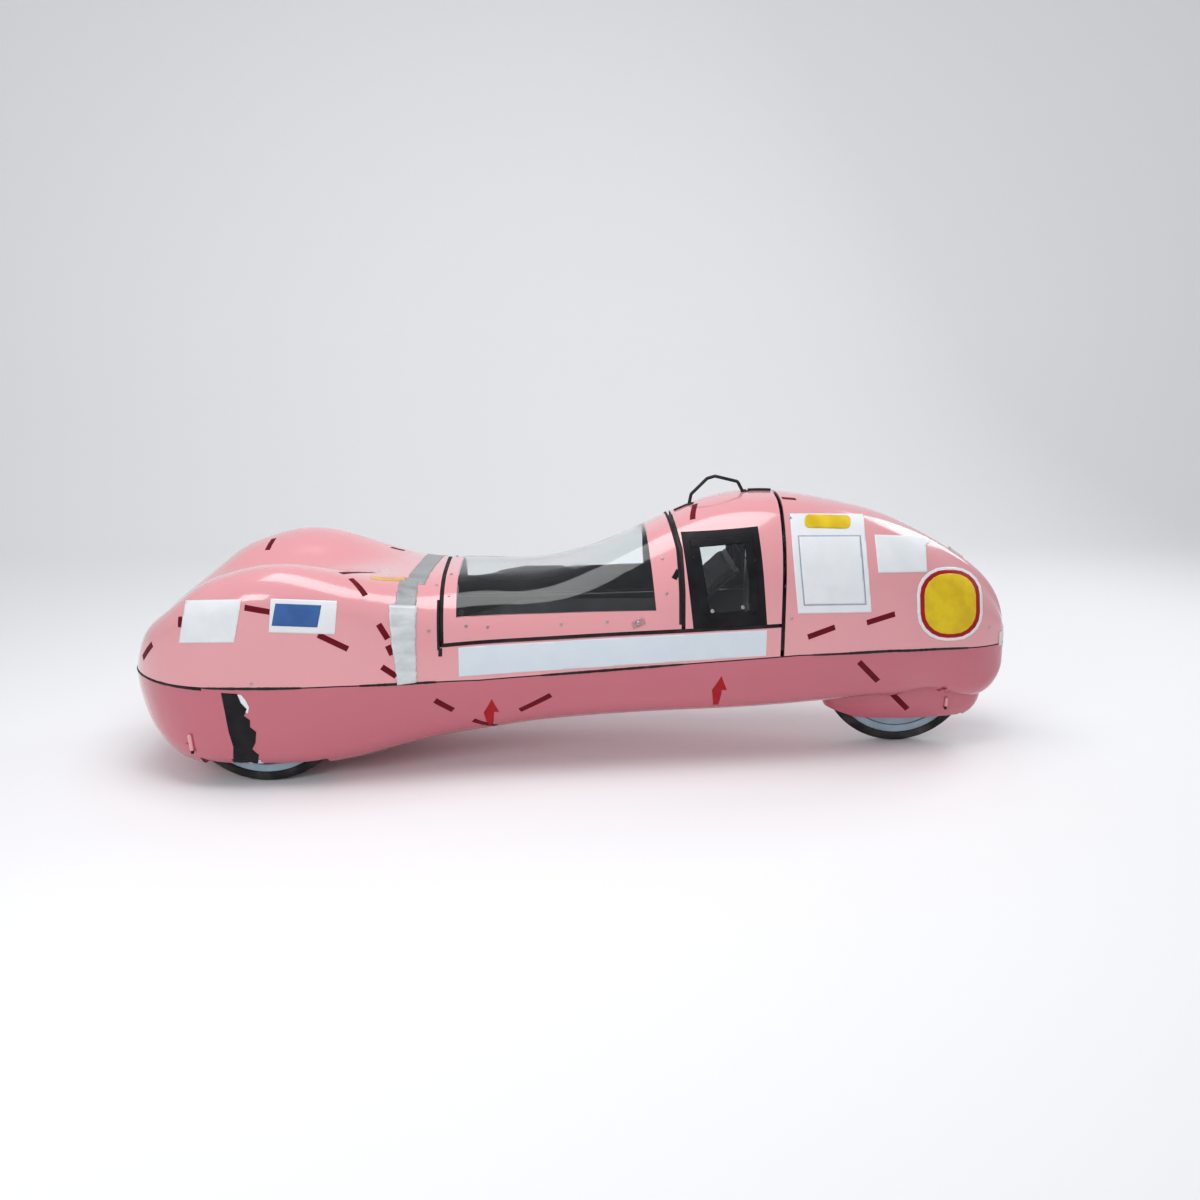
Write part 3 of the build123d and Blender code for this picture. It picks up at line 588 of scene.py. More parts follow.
# Torn black patch low on the left side, where a strip of tape was pulled off, with white rims of
# the film that was under it.
torn_centre = (-0.985, -0.345, 0.200)
torn_outline = [
    (-1.030, 0.310), (-1.024, 0.248), (-1.020, 0.188), (-1.012, 0.139), (-1.022, 0.085),
    (-1.030, 0.062), (-0.975, 0.060), (-0.952, 0.077), (-0.942, 0.111), (-0.958, 0.132),
    (-0.946, 0.153), (-0.940, 0.189), (-0.956, 0.205), (-0.954, 0.227), (-0.970, 0.240),
    (-0.960, 0.262), (-0.975, 0.280), (-0.984, 0.308),
]
torn_rims = [
    [(-0.990, 0.306), (-0.973, 0.305), (-0.962, 0.290), (-0.953, 0.268), (-0.958, 0.248), (-0.985, 0.262)],
    [(-0.985, 0.078), (-0.946, 0.082), (-0.936, 0.074), (-0.950, 0.062), (-0.985, 0.060)],
]
pressed(
    "torn_patch", about(torn_centre, torn_outline), torn_centre, 0.0, black_tape,
    facing=(0, -1, 0), layer=2)
for number, corners in enumerate(torn_rims):
    pressed(
        f"torn_rim_{number}", about(torn_centre, corners), torn_centre, 0.0, white_film,
        facing=(0, -1, 0))


# Silver cloth tape over the hood, wound by hand from low on the left side across to the right in
# three lengths, its edges uneven and its surface wrinkled. The two lengths over the top are darker,
# as painted shade.
ring_axis_z = 0.42
tape_columns = 11
tape_row_turn = 1.6
tape_wobble = 0.0018
tape_sweep = 1.7
tape_wall = 0.0004


def cloth_tape(name, dull, bright):
    """Silver cloth tape, creased across its length, with a fine weave."""
    tape = Finish(name)
    tape.set("Metallic", 0.2)
    wrinkles = tape.noise(28.0, 4.0, 0.6, (0.35, 1, 1))
    tape.feed("Base Color", wrinkles, (0.3, dull), (0.7, bright))
    tape.feed("Roughness", wrinkles, (0.3, 0.30), (0.7, 0.55))
    tape.bump((wrinkles, 0.5, 0.002), (tape.noise(500.0, 1.0), 0.15, 0.0002))
    return tape.material


# A darker copy of the silver tape for the lengths over the top: painted shade.
shaded_top_tape = cloth_tape("shaded_silver_tape", (0.24, 0.25, 0.25, 1.0), (0.38, 0.39, 0.40, 1.0))
side_tape = cloth_tape("silver_tape", (0.50, 0.53, 0.54, 1.0), (0.74, 0.78, 0.79, 1.0))


def spoke(degrees):
    """Direction across the body, turned degrees from straight up to the right."""
    return Vector((0.0, math.sin(math.radians(degrees)), math.cos(math.radians(degrees))))


def ring_point(body, x, degrees):
    """Where a ray toward the body's axis at x meets the skin, turned degrees from the top."""
    outward = spoke(degrees)
    return cast(body, Vector((x, 0.0, ring_axis_z)) + outward, -outward)


def laid(name, columns, rows, lay, wall, material, body, crease=default_crease):
    """A thin strip of columns by rows, with each point where lay(column, row) puts it."""
    shape = bmesh.new()
    bmesh.ops.create_grid(shape, x_segments=columns, y_segments=rows, size=0.5)
    for vertex in shape.verts:
        vertex.co = lay(round((vertex.co.x + 0.5) * columns), round((vertex.co.y + 0.5) * rows))
    thicken(new_piece(name, shape, material, body, crease), wall)


edge_chance = random.Random(4)
hood_tapes = [
    # name, degrees from the top at both ends, x there, width there, lift, cloth
    ("hood_tape_over", (-50.0, 100.0), (-0.484, -0.456), (0.058, 0.058), 0.0006, shaded_top_tape),
    ("hood_tape_knee", (-70.0, -46.0), (-0.505, -0.502), (0.060, 0.050), 0.0012, shaded_top_tape),
    ("hood_tape_side", (-107.0, -66.0), (-0.505, -0.511), (0.054, 0.078), 0.0018, side_tape),
]
for name, turns, middles, widths, lift, cloth in hood_tapes:
    rows = int((turns[1] - turns[0]) / tape_row_turn)
    wobbles = [edge_chance.uniform(-tape_wobble, tape_wobble) for _ in range(rows + 1)]

    def lay_tape(column, row):
        share = row / rows
        middle = middles[0] + (middles[1] - middles[0]) * min(1.0, share * tape_sweep)
        width = widths[0] + (widths[1] - widths[0]) * share
        x = middle + width * (column / tape_columns - 0.5) + wobbles[row]
        place, normal = ring_point("body", x, turns[0] + share * (turns[1] - turns[0]))
        return place + normal * lift

    laid(name, tape_columns, rows, lay_tape, tape_wall, cloth, "body")


# Rubber seals round the lids: square strips stuck to the fixed body, that fill the gaps just
# below the surface. One crosses the body at each end of the lids, one runs along each sill.
seal_half = 0.0045
seal_top = 0.0025
seal_depth = 0.008
seal_reach = 0.009
hoop_steps = 96
sill_steps = 80
lid_front_x = sill_front.x
lid_rear_x = sill_rear.x


def bar(name, sections, material, body):
    """A solid bar bridged through a row of four-cornered sections and closed at its ends."""
    shape = bmesh.new()
    loops = []
    for section in sections:
        corners = [shape.verts.new(corner) for corner in section]
        loops.append([shape.edges.new(pair) for pair in zip(corners, corners[1:] + corners[:1])])
    for low, high in zip(loops, loops[1:]):
        bmesh.ops.bridge_loops(shape, edges=low + high)
    bmesh.ops.holes_fill(shape, edges=loops[0] + loops[-1], sides=4)
    return new_piece(name, shape, material, body)


def hoop_seal(name, x, degrees):
    """A seal across the body at x, from the left side over the top to the right."""
    near_skins = (
        ("body", -seal_reach), ("body", seal_reach), ("canopy", seal_reach), ("hatch", -seal_reach))
    sections = []
    for step in range(hoop_steps + 1):
        turn = -degrees + 2 * degrees * step / hoop_steps
        reaches = []
        for body, offset in near_skins:
            place, _ = ring_point(body, x + offset, turn)
            if place:
                reaches.append((place - Vector((x + offset, 0, ring_axis_z))).length)
        outward = spoke(turn)
        top = Vector((x, 0, ring_axis_z)) + outward * (min(reaches) - seal_top)
        foot = top - outward * seal_depth
        half = Vector((seal_half, 0, 0))
        sections.append([top - half, top + half, foot + half, foot - half])
    bar(name, sections, seal_rubber, "body")


hoop_seal("front_lid_seal", lid_front_x, 89.0)
hoop_seal("rear_lid_seal", lid_rear_x, 101.0)
for side, hand in hands:
    sections = []
    for step in range(sill_steps + 1):
        x = lid_front_x + (lid_rear_x - lid_front_x) * step / sill_steps
        z = sill_z(x)
        place, _ = cast("body", (x, side, z - seal_reach), (0, -side, 0))
        if place is None:
            continue
        outer_y = place.y - side * seal_top
        inner_y = outer_y - side * seal_depth
        sections.append([
            (x, outer_y, z - seal_half), (x, outer_y, z + seal_half),
            (x, inner_y, z + seal_half), (x, inner_y, z - seal_half)])
    bar(f"sill_seal_{hand}", sections, seal_rubber, "body")


# Black laminate former glued to the body under the seam between canopy and hatch: both lids
# close onto it, and its black fills the seam as painted shade.
former_x = (0.262, 0.318)
former_turn = 80.0
former_gap = 0.014
former_wall = 0.004
former_foot = Vector((0, 0, -0.060))
sections = []
for step in range(hoop_steps + 1):
    turn = -former_turn + 2 * former_turn * step / hoop_steps
    corners = []
    for x, lid in zip(former_x, ("canopy", "hatch")):
        place, _ = ring_point(lid, x, turn)
        axis = Vector((x, 0, ring_axis_z))
        corners.append(axis + spoke(turn) * ((place - axis).length - former_gap))
    inner = spoke(turn) * former_wall
    sections.append([corners[0], corners[1], corners[1] - inner, corners[0] - inner])
sections.insert(0, [corner + former_foot for corner in sections[0]])
sections.append([corner + former_foot for corner in sections[-1]])
bar("seam_shade_former", sections, laminate, "body")


# Black strips in the parting line, standing as painted shadow in the gap: thickest round the nose
# and toward the tail, with a short stub of it under each of the canopy's front corners.
shadow_line_wall = 0.0012
shadow_line_lift = 0.0002
shadow_line_crown = 0.0011
shadow_line_crease = 60.0
shadow_line_shares = (-1.0, -0.3, 0.3, 1.0)
shadow_line_step = 0.008
nose_middle = Vector((-1.100, 0, 0.318))
nose_steps = 90
nose_reach = 0.6
parting_line = [
    (-1.500, 0.312), (-1.100, 0.322), (-0.700, 0.326), (-0.300, 0.318),
    (0.250, 0.345), (0.650, 0.364), (0.950, 0.360), (1.500, 0.330),
]


def between(table, value):
    """The second number of a table of pairs, at a value of the first."""
    for (low, start), (high, end) in zip(table, table[1:]):
        if value <= high:
            return start + (value - low) / (high - low) * (end - start)


def parting_shadow(name, casts):
    """A thin raised black line of painted shadow through (start, direction, half width) casts onto the
    body.
    """
    def lay_parting_shadow(column, row):
        start, direction, half = casts[row]
        share = shadow_line_shares[column]
        place, normal = cast("body", start + Vector((0, 0, half * share)), direction)
        return place + normal * (shadow_line_lift + shadow_line_crown * (abs(share) < 0.5))

    laid(
        name, len(shadow_line_shares) - 1, len(casts) - 1, lay_parting_shadow, shadow_line_wall, seal_rubber, "body",
        shadow_line_crease)


casts = []
for step in range(nose_steps + 1):
    turn = math.radians(88.0 + 184.0 * step / nose_steps)
    outward = Vector((math.cos(turn), -math.sin(turn), 0.0))
    half = 0.0026 + edge_chance.uniform(0.0, 0.0016)
    casts.append((nose_middle + outward * nose_reach, -outward, half))
parting_shadow("nose_parting_shadow", casts)
parting_shadow_runs = [
    # name, side, x at both ends
    ("filler_front_left", -1, -1.080, -0.800),
    ("filler_hood_left", -1, -0.640, -0.420),
    ("filler_mid_left", -1, -0.120, 0.300),
    ("filler_tail_left", -1, 0.690, 1.200),
    ("filler_mid_right", 1, -0.200, 0.250),
    ("filler_tail_right", 1, 0.690, 1.200),
]
for name, side, start_x, end_x in parting_shadow_runs:
    casts = []
    count = int((end_x - start_x) / shadow_line_step)
    for step in range(count + 1):
        x = start_x + (end_x - start_x) * step / count
        swell = max(0.0, math.sin(math.pi * step / count)) ** 0.5
        half = 0.0020 + swell * (0.0012 + edge_chance.uniform(0.0, 0.0014))
        casts.append((Vector((x, side, between(parting_line, x))), Vector((0, -side, 0)), half))
    parting_shadow(name, casts)
for side, hand in hands:
    pressed(
        f"corner_shadow_stub_{hand}", leaning(0.036, 0.011), (-0.409, side * 0.298, 0.414), 88.0, seal_rubber,
        layer=2)


# Black rubber edging pushed onto the seams: along the canopy's rear edge, and on the hood's rear
# edge where the canopy's front corners sit.
hatch_seam = [
    # height, x of the seam between canopy and hatch
    (0.400, 0.300), (0.560, 0.300), (0.680, 0.295), (0.750, 0.278), (0.900, 0.278),
]
edging_width = 0.007
edging_lift = 0.0005
edging_wall = 0.0006
edging_steps = 60


def edging(name, body, start, end, back_x):
    """A flat black band on the skin from start to end degrees; back_x(z) is its rear edge."""
    def lay_edging(column, row):
        turn = start + (end - start) * row / edging_steps
        rear = back_x(hatch_seam[-1][0])
        for _ in range(2):
            place, _ = ring_point(body, rear - edging_width, turn)
            rear = back_x(place.z)
        front, normal = ring_point(body, rear - edging_width, turn)
        middle, _ = ring_point(body, rear - edging_width / 2, turn)
        return front + (middle - front) * column + normal * edging_lift

    laid(name, 2, edging_steps, lay_edging, edging_wall, seal_rubber, body)


edging("canopy_edging", "canopy", -79.0, 79.0, lambda z: between(hatch_seam, z) - 0.0060)
edging("hood_edging_left", "body", -91.0, -62.0, lambda z: lid_front_x - 0.0056)
edging("hood_edging_right", "body", 62.0, 91.0, lambda z: lid_front_x - 0.0056)


# Black foam strips, glued along the inside of the clear sheet's lower edges and cut to taper
# toward the front.
foam = rubber("foam", (0.015, 0.015, 0.017, 1.0), (0.035, 0.035, 0.037, 1.0), 400.0)
foam_x = (-0.335, 0.224)
foam_foot_z = 0.486
foam_top_z = (0.505, 0.545)
foam_rise = 0.165
foam_depths = (0.0055, 0.0120)
foam_steps = 40
for side, hand in hands:
    sections = []
    for step in range(foam_steps + 1):
        x = foam_x[0] + (foam_x[1] - foam_x[0]) * step / foam_steps
        share = min(1.0, (x - foam_x[0]) / foam_rise)
        top_z = foam_top_z[0] + (foam_top_z[1] - foam_top_z[0]) * share
        low, low_normal = cast("canopy", (x, side, foam_foot_z), (0, -side, 0))
        high, high_normal = cast("canopy", (x, side, top_z), (0, -side, 0))
        near, far = foam_depths
        sections.append([
            low - low_normal * near, high - high_normal * near,
            high - high_normal * far, low - low_normal * far])
    bar(f"sheet_foam_{hand}", sections, foam, "canopy")


# Screws: turned steel pan heads with a round recess, that hold the clear sheets, the lids' rims
# and the mouldings' seams. A clear tab under a bolt holds each lower rear corner of the sheet.
head_crease = 50.0


def lathe(shape, profile, matrix, steps=24):
    """Spins (radius, height) points round the z axis of matrix."""
    before = set(shape.verts)
    points = [shape.verts.new((radius, 0, rise)) for radius, rise in profile]
    edges = [shape.edges.new(pair) for pair in zip(points, points[1:])]
    bmesh.ops.spin(
        shape, geom=points + edges, cent=(0, 0, 0), axis=(0, 0, 1), angle=2 * math.pi, steps=steps,
        use_merge=True)
    made = [vert for vert in shape.verts if vert not in before]
    bmesh.ops.remove_doubles(shape, verts=made, dist=weld_reach)
    made = [vert for vert in shape.verts if vert not in before]
    bmesh.ops.transform(shape, matrix=matrix, verts=made)


def facing_frame(place, direction):
    """A matrix at place whose z axis points along direction."""
    turn = Vector(direction).to_track_quat("Z", "Y").to_matrix().to_4x4()
    return Matrix.Translation(place) @ turn


def screw_head(radius, height):
    """A pan head's profile, from the rim of its underside to the middle of its recess."""
    return [
        (radius, -0.0005), (radius, height * 0.45), (radius * 0.86, height * 0.85),
        (radius * 0.62, height), (radius * 0.42, height), (radius * 0.38, height * 0.4),
        (0, height * 0.4)]


def screws(name, places, body, radius=0.0045, height=0.0025):
    """Screw heads on a body's skin at places on the left side, and the same on the right."""
    shape = bmesh.new()
    for x, y, z in places + [(x, -y, z) for x, y, z in places]:
        outward = Vector((0.0, y, z - shell_axis_z)).normalized()
        seat, normal = cast(body, Vector((x, y, z)) + outward * cast_reach, -outward)
        lathe(shape, screw_head(radius, height), facing_frame(seat, normal), 14)
    new_piece(name, shape, steel, body, head_crease)


screws("canopy_screws", [
    (-0.335, -0.272, 0.478), (-0.273, -0.267, 0.473), (-0.060, -0.262, 0.480), (0.075, -0.258, 0.486),
    (0.241, -0.183, 0.654), (0.250, -0.232, 0.560), (-0.385, -0.124, 0.601), (-0.385, -0.230, 0.560),
], "canopy")
screws("hatch_screws", [(0.385, -0.250, 0.512), (0.475, -0.240, 0.516)], "hatch", 0.006, 0.003)
screws("seam_screws", [
    (-0.440, -0.290, 0.470), (0.622, -0.235, 0.480), (0.622, -0.150, 0.760), (-0.423, -0.200, 0.590),
    (1.272, -0.090, 0.402), (-0.940, -0.350, 0.340),
], "body")

tab_place = (0.167, -0.248, 0.474)
for side, hand in hands:
    place = (tab_place[0], -side * tab_place[1], tab_place[2])
    pressed(
        f"sheet_tab_{hand}", rounded(0.040, 0.022, 0.006), place, 25.0, clear_sheet,
        "canopy", layer=2)
screws("tab_bolts", [tab_place], "canopy", 0.007, 0.005)


# Black tape, cut to length and stuck over the kink of the canopy's rear edge, and laid as four
# bars round each window's clear sheet.
window_centre = (0.425, 0.24, 0.600)
window_bars = [
    [(0.352, 0.481), (0.380, 0.481), (0.347, 0.708), (0.321, 0.706)],
    [(0.321, 0.706), (0.324, 0.684), (0.505, 0.704), (0.503, 0.727)],
    [(0.503, 0.727), (0.478, 0.724), (0.500, 0.484), (0.527, 0.485)],
    [(0.527, 0.485), (0.525, 0.506), (0.350, 0.502), (0.352, 0.481)],
]
pressed(
    "kink_tape", leaning(0.030, 0.016), (0.280, -0.216, 0.613), 60.0, black_tape,
    "canopy")
for side, hand in hands:
    x, y, z = window_centre
    for number, corners in enumerate(window_bars):
        pressed(
            f"window_bar_{number}_{hand}", about(window_centre, corners), (x, side * y, z), 0.0,
            black_tape, "hatch", facing=(0, side, 0), layer=2)


# Tyres: round slick rubber tyres with a centre rib, slanted sipes, shoulder blocks and rings
# moulded into the side walls. Each replaces its CAD tyre and stays inside it.
tyre_rubber = rubber("tyre_rubber", (0.012, 0.012, 0.013, 1.0), (0.07, 0.068, 0.065, 1.0), 140.0)
tyre_reach = 0.245
tyre_section = 0.0225
tyre_steps = 180
tyre_columns = 44
rib_edge = 6.0
rib_groove = 12.0
sipe_pitch = 8.0
sipe_every = 5
shoulder_groove = 43.0
tread_edge = 48.0
side_ring = (74.0, 80.0)
side_edge = 110.0
groove_depth = 0.0016
side_drop = 0.0003
side_ring_drop = -0.0004
wheel_places = {
    # name: axle x, middle y
    "front_left": (-0.935, -0.245),
    "front_right": (-0.935, 0.245),
    "rear": (1.022, 0.0),
}


def tread_drop(degrees, step):
    """Depth of the pattern at an angle from the crown, at one step round the tyre."""
    lean = abs(degrees)
    if lean > tread_edge:
        return side_ring_drop if side_ring[0] < lean < side_ring[1] else side_drop
    if lean < rib_edge:
        return 0.0
    if lean < rib_groove or lean > shoulder_groove:
        return groove_depth
    return groove_depth if (step + int(lean / sipe_pitch)) % sipe_every == 0 else 0.0


angles = [side_edge * (column / (tyre_columns / 2) - 1) for column in range(tyre_columns + 1)]
for name, (x, y) in wheel_places.items():
    hub = Vector((x, y, tyre_reach))
    shape = bmesh.new()
    ring = []
    for degrees in angles:
        angle = math.radians(degrees)
        ring.append(shape.verts.new(hub + Vector((
            tyre_reach - tyre_section + tyre_section * math.cos(angle),
            tyre_section * math.sin(angle), 0))))
    edges = [shape.edges.new(pair) for pair in zip(ring, ring[1:] + ring[:1])]
    bmesh.ops.spin(
        shape, geom=ring + edges, cent=hub, axis=(0, 1, 0), angle=2 * math.pi, steps=tyre_steps,
        use_merge=True)
    for vertex in shape.verts:
        turn = math.atan2(vertex.co.z - hub.z, vertex.co.x - hub.x)
        outward = Vector((math.cos(turn), 0, math.sin(turn)))
        core = hub + outward * (tyre_reach - tyre_section)
        arm = vertex.co - core
        lean = math.degrees(math.atan2(arm.y, arm.dot(outward)))
        column = round((lean + side_edge) / (2 * side_edge) * tyre_columns)
        step = round(turn / (2 * math.pi) * tyre_steps) % tyre_steps
        vertex.co = core + arm.normalized() * (tyre_section - tread_drop(angles[column], step))
    piece = new_piece(f"{name}_tread", shape, tyre_rubber, f"{name}_wheel", 30.0)
    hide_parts(f"{name}_tyre")


# Wheel hardware on both faces of each disc: a ring of steel bolts round the hub, a second one
# inside the rim, the valve, and a thin line of black tape stuck round the rim.
hub_half = {"front_left": 0.028, "front_right": 0.028, "rear": 0.044}
hub_radius = 0.022
disc_face = 0.012
disc_run = 0.170
bolt_sink = 0.003
bolt_circles = [
    # bolts, radius of their circle
    (6, 0.060), (16, 0.176),
]
rim_line = 0.188
valve_radius = 0.178
valve_stem = [(0.0032, 0), (0.0032, 0.006), (0.0024, 0.008), (0, 0.008)]
rim_band = [(rim_line, disc_face + 0.0004), (rim_line + 0.003, disc_face + 0.0006)]
for name, (x, y) in wheel_places.items():
    hub = Vector((x, y, tyre_reach))
    slope = (hub_half[name] - disc_face) / disc_run
    bolts = bmesh.new()
    tape = bmesh.new()
    for side in (-1, 1):
        out = Vector((0, side, 0))
        for count, radius in bolt_circles:
            for step in range(count):
                turn = 2 * math.pi * step / count
                arm = Vector((math.cos(turn), 0, math.sin(turn)))
                face_y = hub_half[name] - bolt_sink - (radius - hub_radius) * slope
                seat = hub + arm * radius + out * face_y
                lathe(bolts, screw_head(0.0042, 0.0025), facing_frame(seat, out), 12)
        valve = hub + Vector((valve_radius, 0, 0)) + out * disc_face
        lathe(bolts, valve_stem, facing_frame(valve, out), 12)
        lathe(tape, rim_band, facing_frame(hub, out), 96)
    new_piece(f"{name}_hub_bolts", bolts, steel, f"{name}_wheel", head_crease)
    new_piece(f"{name}_rim_tape", tape, black_tape, f"{name}_wheel")


# Weld beads where the frame's tubes meet: rippled aluminium, laid by hand round each tube's end
# and round the roll hoop's feet.
half_tube = 0.015
rail_y = 0.095
rail_z = 0.245
bead_radius = 0.0026
bead_step = 0.0035
hoop_x = 0.555
hoop_weld_radius = 0.013
fork_foot_x = (0.760, 0.761)
fork_faces_y = (0.048, 0.056)


def weld(shape, corners):
    """A rippled bead along a closed line of corners."""
    for start, end in zip(corners, corners[1:] + corners[:1]):
        line = Vector(end) - Vector(start)
        for step in range(int(line.length / bead_step)):
            place = Vector(start) + line * (step * bead_step / line.length)
            bmesh.ops.create_icosphere(
                shape, subdivisions=1, radius=bead_radius, matrix=Matrix.Translation(place))


def weld_frame(shape, low_x, high_x, y):
    """A bead round a tube's end that meets an upright face at y."""
    low_z, high_z = rail_z - half_tube, rail_z + half_tube
    weld(shape, [(low_x, y, low_z), (high_x, y, low_z), (high_x, y, high_z), (low_x, y, high_z)])


shape = bmesh.new()
cross_tubes = [
    # x of the tube, y of the rail's face that it meets
    (-0.935, rail_y + half_tube), (-0.520, rail_y - half_tube), (0.745, rail_y - half_tube),
]
for x, y in cross_tubes:
    for side in (-1, 1):
        weld_frame(shape, x - half_tube, x + half_tube, side * y)
for side in (-1, 1):
    for y in fork_faces_y:
        weld_frame(shape, *fork_foot_x, side * y)
    foot = Vector((hoop_x, side * rail_y, rail_z + half_tube))
    weld(shape, [
        foot + Matrix.Rotation(math.radians(a), 3, "Z") @ Vector((hoop_weld_radius, 0, 0))
        for a in range(0, 360, 30)])
new_piece("weld_beads", shape, aluminium, "body", 60.0)


# Foam sleeve over the top of the roll hoop, where a helmet may touch the tube: a length of soft
# black pipe foam, slit along its back and pushed on.
sleeve_radius = 0.019
sleeve_bore = 0.0125
sleeve_half = 0.085
sleeve_edge = 0.003
sleeve = bmesh.new()
lathe(sleeve, [
    (sleeve_bore, -sleeve_half), (sleeve_radius - sleeve_edge, -sleeve_half),
    (sleeve_radius, -sleeve_half + sleeve_edge), (sleeve_radius, sleeve_half - sleeve_edge),
    (sleeve_radius - sleeve_edge, sleeve_half), (sleeve_bore, sleeve_half),
], facing_frame((hoop_x, 0, 0.760), (0, 1, 0)), 32)
new_piece("hoop_foam", sleeve, foam, "body")


# Steering bar: ribbed rubber grips with end caps, pushed onto the bar's ends, and a brake lever
# bent from steel rod in front of each.
bar_lean = math.radians(50.0)
bar_reach = 0.215
bar_centre = Vector((-0.520, 0.0, rail_z)) + bar_reach * Vector((math.cos(bar_lean), 0, math.sin(bar_lean)))
bar_half = 0.115
grip_length = 0.075
grip_bore = 0.0102
grip_r = 0.0145
grip_ribs = 9
rib_pitch = 0.0075
lever_radius = 0.0036
grip_profile = [(grip_bore, 0.0), (grip_r + 0.002, 0.0), (grip_r + 0.002, 0.003)]
for rib in range(grip_ribs):
    start = 0.006 + rib * rib_pitch
    grip_profile += [
        (grip_r - 0.001, start), (grip_r, start + 0.0015), (grip_r, start + 0.0045),
        (grip_r - 0.001, start + 0.006)]
grip_profile += [
    (grip_r, grip_length), (grip_r - 0.004, grip_length + 0.003), (0, grip_length + 0.003)]
grips = bmesh.new()
for side in (-1, 1):
    foot = (bar_centre.x, side * (bar_half - grip_length), bar_centre.z)
    lathe(grips, grip_profile, facing_frame(foot, (0, side, 0)), 28)
new_piece("bar_grips", grips, tyre_rubber, "steering_bar", 40.0)


def rod_line(name, points, radius, material, body):
    """A round bar through points, rounded by a spline."""
    curve = bpy.data.curves.new(name, "CURVE")
    curve.dimensions = "3D"
    curve.bevel_depth = radius
    curve.bevel_resolution = 4
    curve.use_fill_caps = True
    spline = curve.splines.new("NURBS")
    spline.points.add(len(points) - 1)
    for point, place in zip(spline.points, points):
        point.co = (*place, 1.0)
    spline.order_u = 3
    spline.use_endpoint_u = True
    curve.materials.append(material)
    line = bpy.data.objects.new(name, curve)
    bpy.context.scene.collection.objects.link(line)
    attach(line, body)


lever_route = [
    # forward of the bar, sideways, up
    (0.0, 0.030, 0.0), (0.018, 0.034, 0.004), (0.032, 0.048, 0.006), (0.036, 0.080, 0.006),
    (0.030, 0.112, 0.004),
]
for side, hand in hands:
    route = [bar_centre + Vector((-forward, side * y, up)) for forward, y, up in lever_route]
    rod_line(f"brake_lever_{hand}", route, lever_radius, steel, "steering_bar")


# Seat: a thin laminate pan on the rails with two cloth-covered pads, blown up a little by a
# cloth simulation, with sewn channels across them.
seat_half = 0.150
pan_wall = 0.005
pan_bend = 1.05
seat_front = Vector((-0.130, 0.0, 0.260))
seat_knee = Vector((0.095, 0.0, 0.260))
seat_top = Vector((0.478, 0.0, 0.604))
seat_up = Vector((0, 0, 1))
back_along = (seat_top - seat_knee).normalized()
back_out = Vector((-back_along.z, 0.0, back_along.x))
pan_stations = [
    # place on the pan's underside, direction of its wall, which is longer at the bend
    (seat_front, seat_up), (seat_knee, (back_out + seat_up).normalized() * pan_bend),
    (seat_top, back_out),
]
across = Vector((0, seat_half, 0))
pan = bar("seat_pan", [
    [start - across, start + across, start + across + out * pan_wall, start - across + out * pan_wall]
    for start, out in pan_stations
], laminate, "body")
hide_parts("seat")
edge = pan.modifiers.new("edge", "BEVEL")
edge.width = 0.0015
edge.segments = 2

cloth = Finish("seat_cloth")
cloth.feed(
    "Base Color", cloth.noise(14.0, 5.0), (0.35, (0.012, 0.012, 0.014, 1.0)),
    (0.7, (0.040, 0.040, 0.044, 1.0)))
cloth.feed("Roughness", cloth.noise(40.0), (0.3, 0.75), (0.7, 0.95))
cloth.set("Sheen Weight", 0.3)
cloth.bump((cloth.threads(260.0, "Y"), 0.25, 0.0004), (cloth.threads(260.0, "Z"), 0.25, 0.0004))
seat_cloth = cloth.material

pad_half = 0.140
pad_start = 0.0075
pad_cap = 0.007
pad_gap = 0.0005
pad_edge = 0.003
pad_voxel = 0.004
pad_pressure = 4.0
pad_frames = 20
channel_depth = 0.004
channel_half = 0.007
pads = [
    # name, start, direction along, direction out, length, channels
    ("seat_pad_low", seat_front + Vector((0.004, 0, 0)), Vector((1, 0, 0)), seat_up, 0.205, 2),
    ("seat_pad_back", seat_knee + back_along * 0.020, back_along, back_out, 0.485, 5),
]


def block(shape, low, high, bevel, placed=Matrix.Identity(4)):
    """A box with rounded edges, placed by a matrix."""
    low, high = Vector(low), Vector(high)
    box = placed @ Matrix.Translation((low + high) / 2) @ Matrix.Diagonal((*(high - low), 1.0))
    made = bmesh.ops.create_cube(shape, size=1.0, matrix=box)
    edges = {edge for vert in made["verts"] for edge in vert.link_edges}
    bmesh.ops.bevel(
        shape, geom=list(edges), offset=bevel, segments=2, profile=0.5, affect="EDGES", material=-1)


def inflated(pad, cap):
    """Remeshes a pad, blows it up with cloth pressure and keeps the result, moved at most cap."""
    remesh = pad.modifiers.new("voxels", "REMESH")
    remesh.mode = "VOXEL"
    remesh.voxel_size = pad_voxel
    graph = bpy.context.evaluated_depsgraph_get()
    start = bpy.data.meshes.new_from_object(pad.evaluated_get(graph))
    pad.modifiers.remove(remesh)
    pad.data = start
    rest = [vertex.co.copy() for vertex in start.vertices]
    puff = pad.modifiers.new("puff", "CLOTH")
    puff.settings.use_pressure = True
    puff.settings.uniform_pressure_force = pad_pressure
    puff.settings.effector_weights.gravity = 0.0
    for step in range(1, pad_frames + 1):
        bpy.context.scene.frame_set(step)
    graph = bpy.context.evaluated_depsgraph_get()
    puffed = bpy.data.meshes.new_from_object(pad.evaluated_get(graph))
    pad.modifiers.remove(puff)
    bpy.context.scene.frame_set(1)
    for vertex, old, new in zip(start.vertices, rest, puffed.vertices):
        move = new.co - old
        if move.length > cap:
            move *= cap / move.length
        vertex.co = old + move


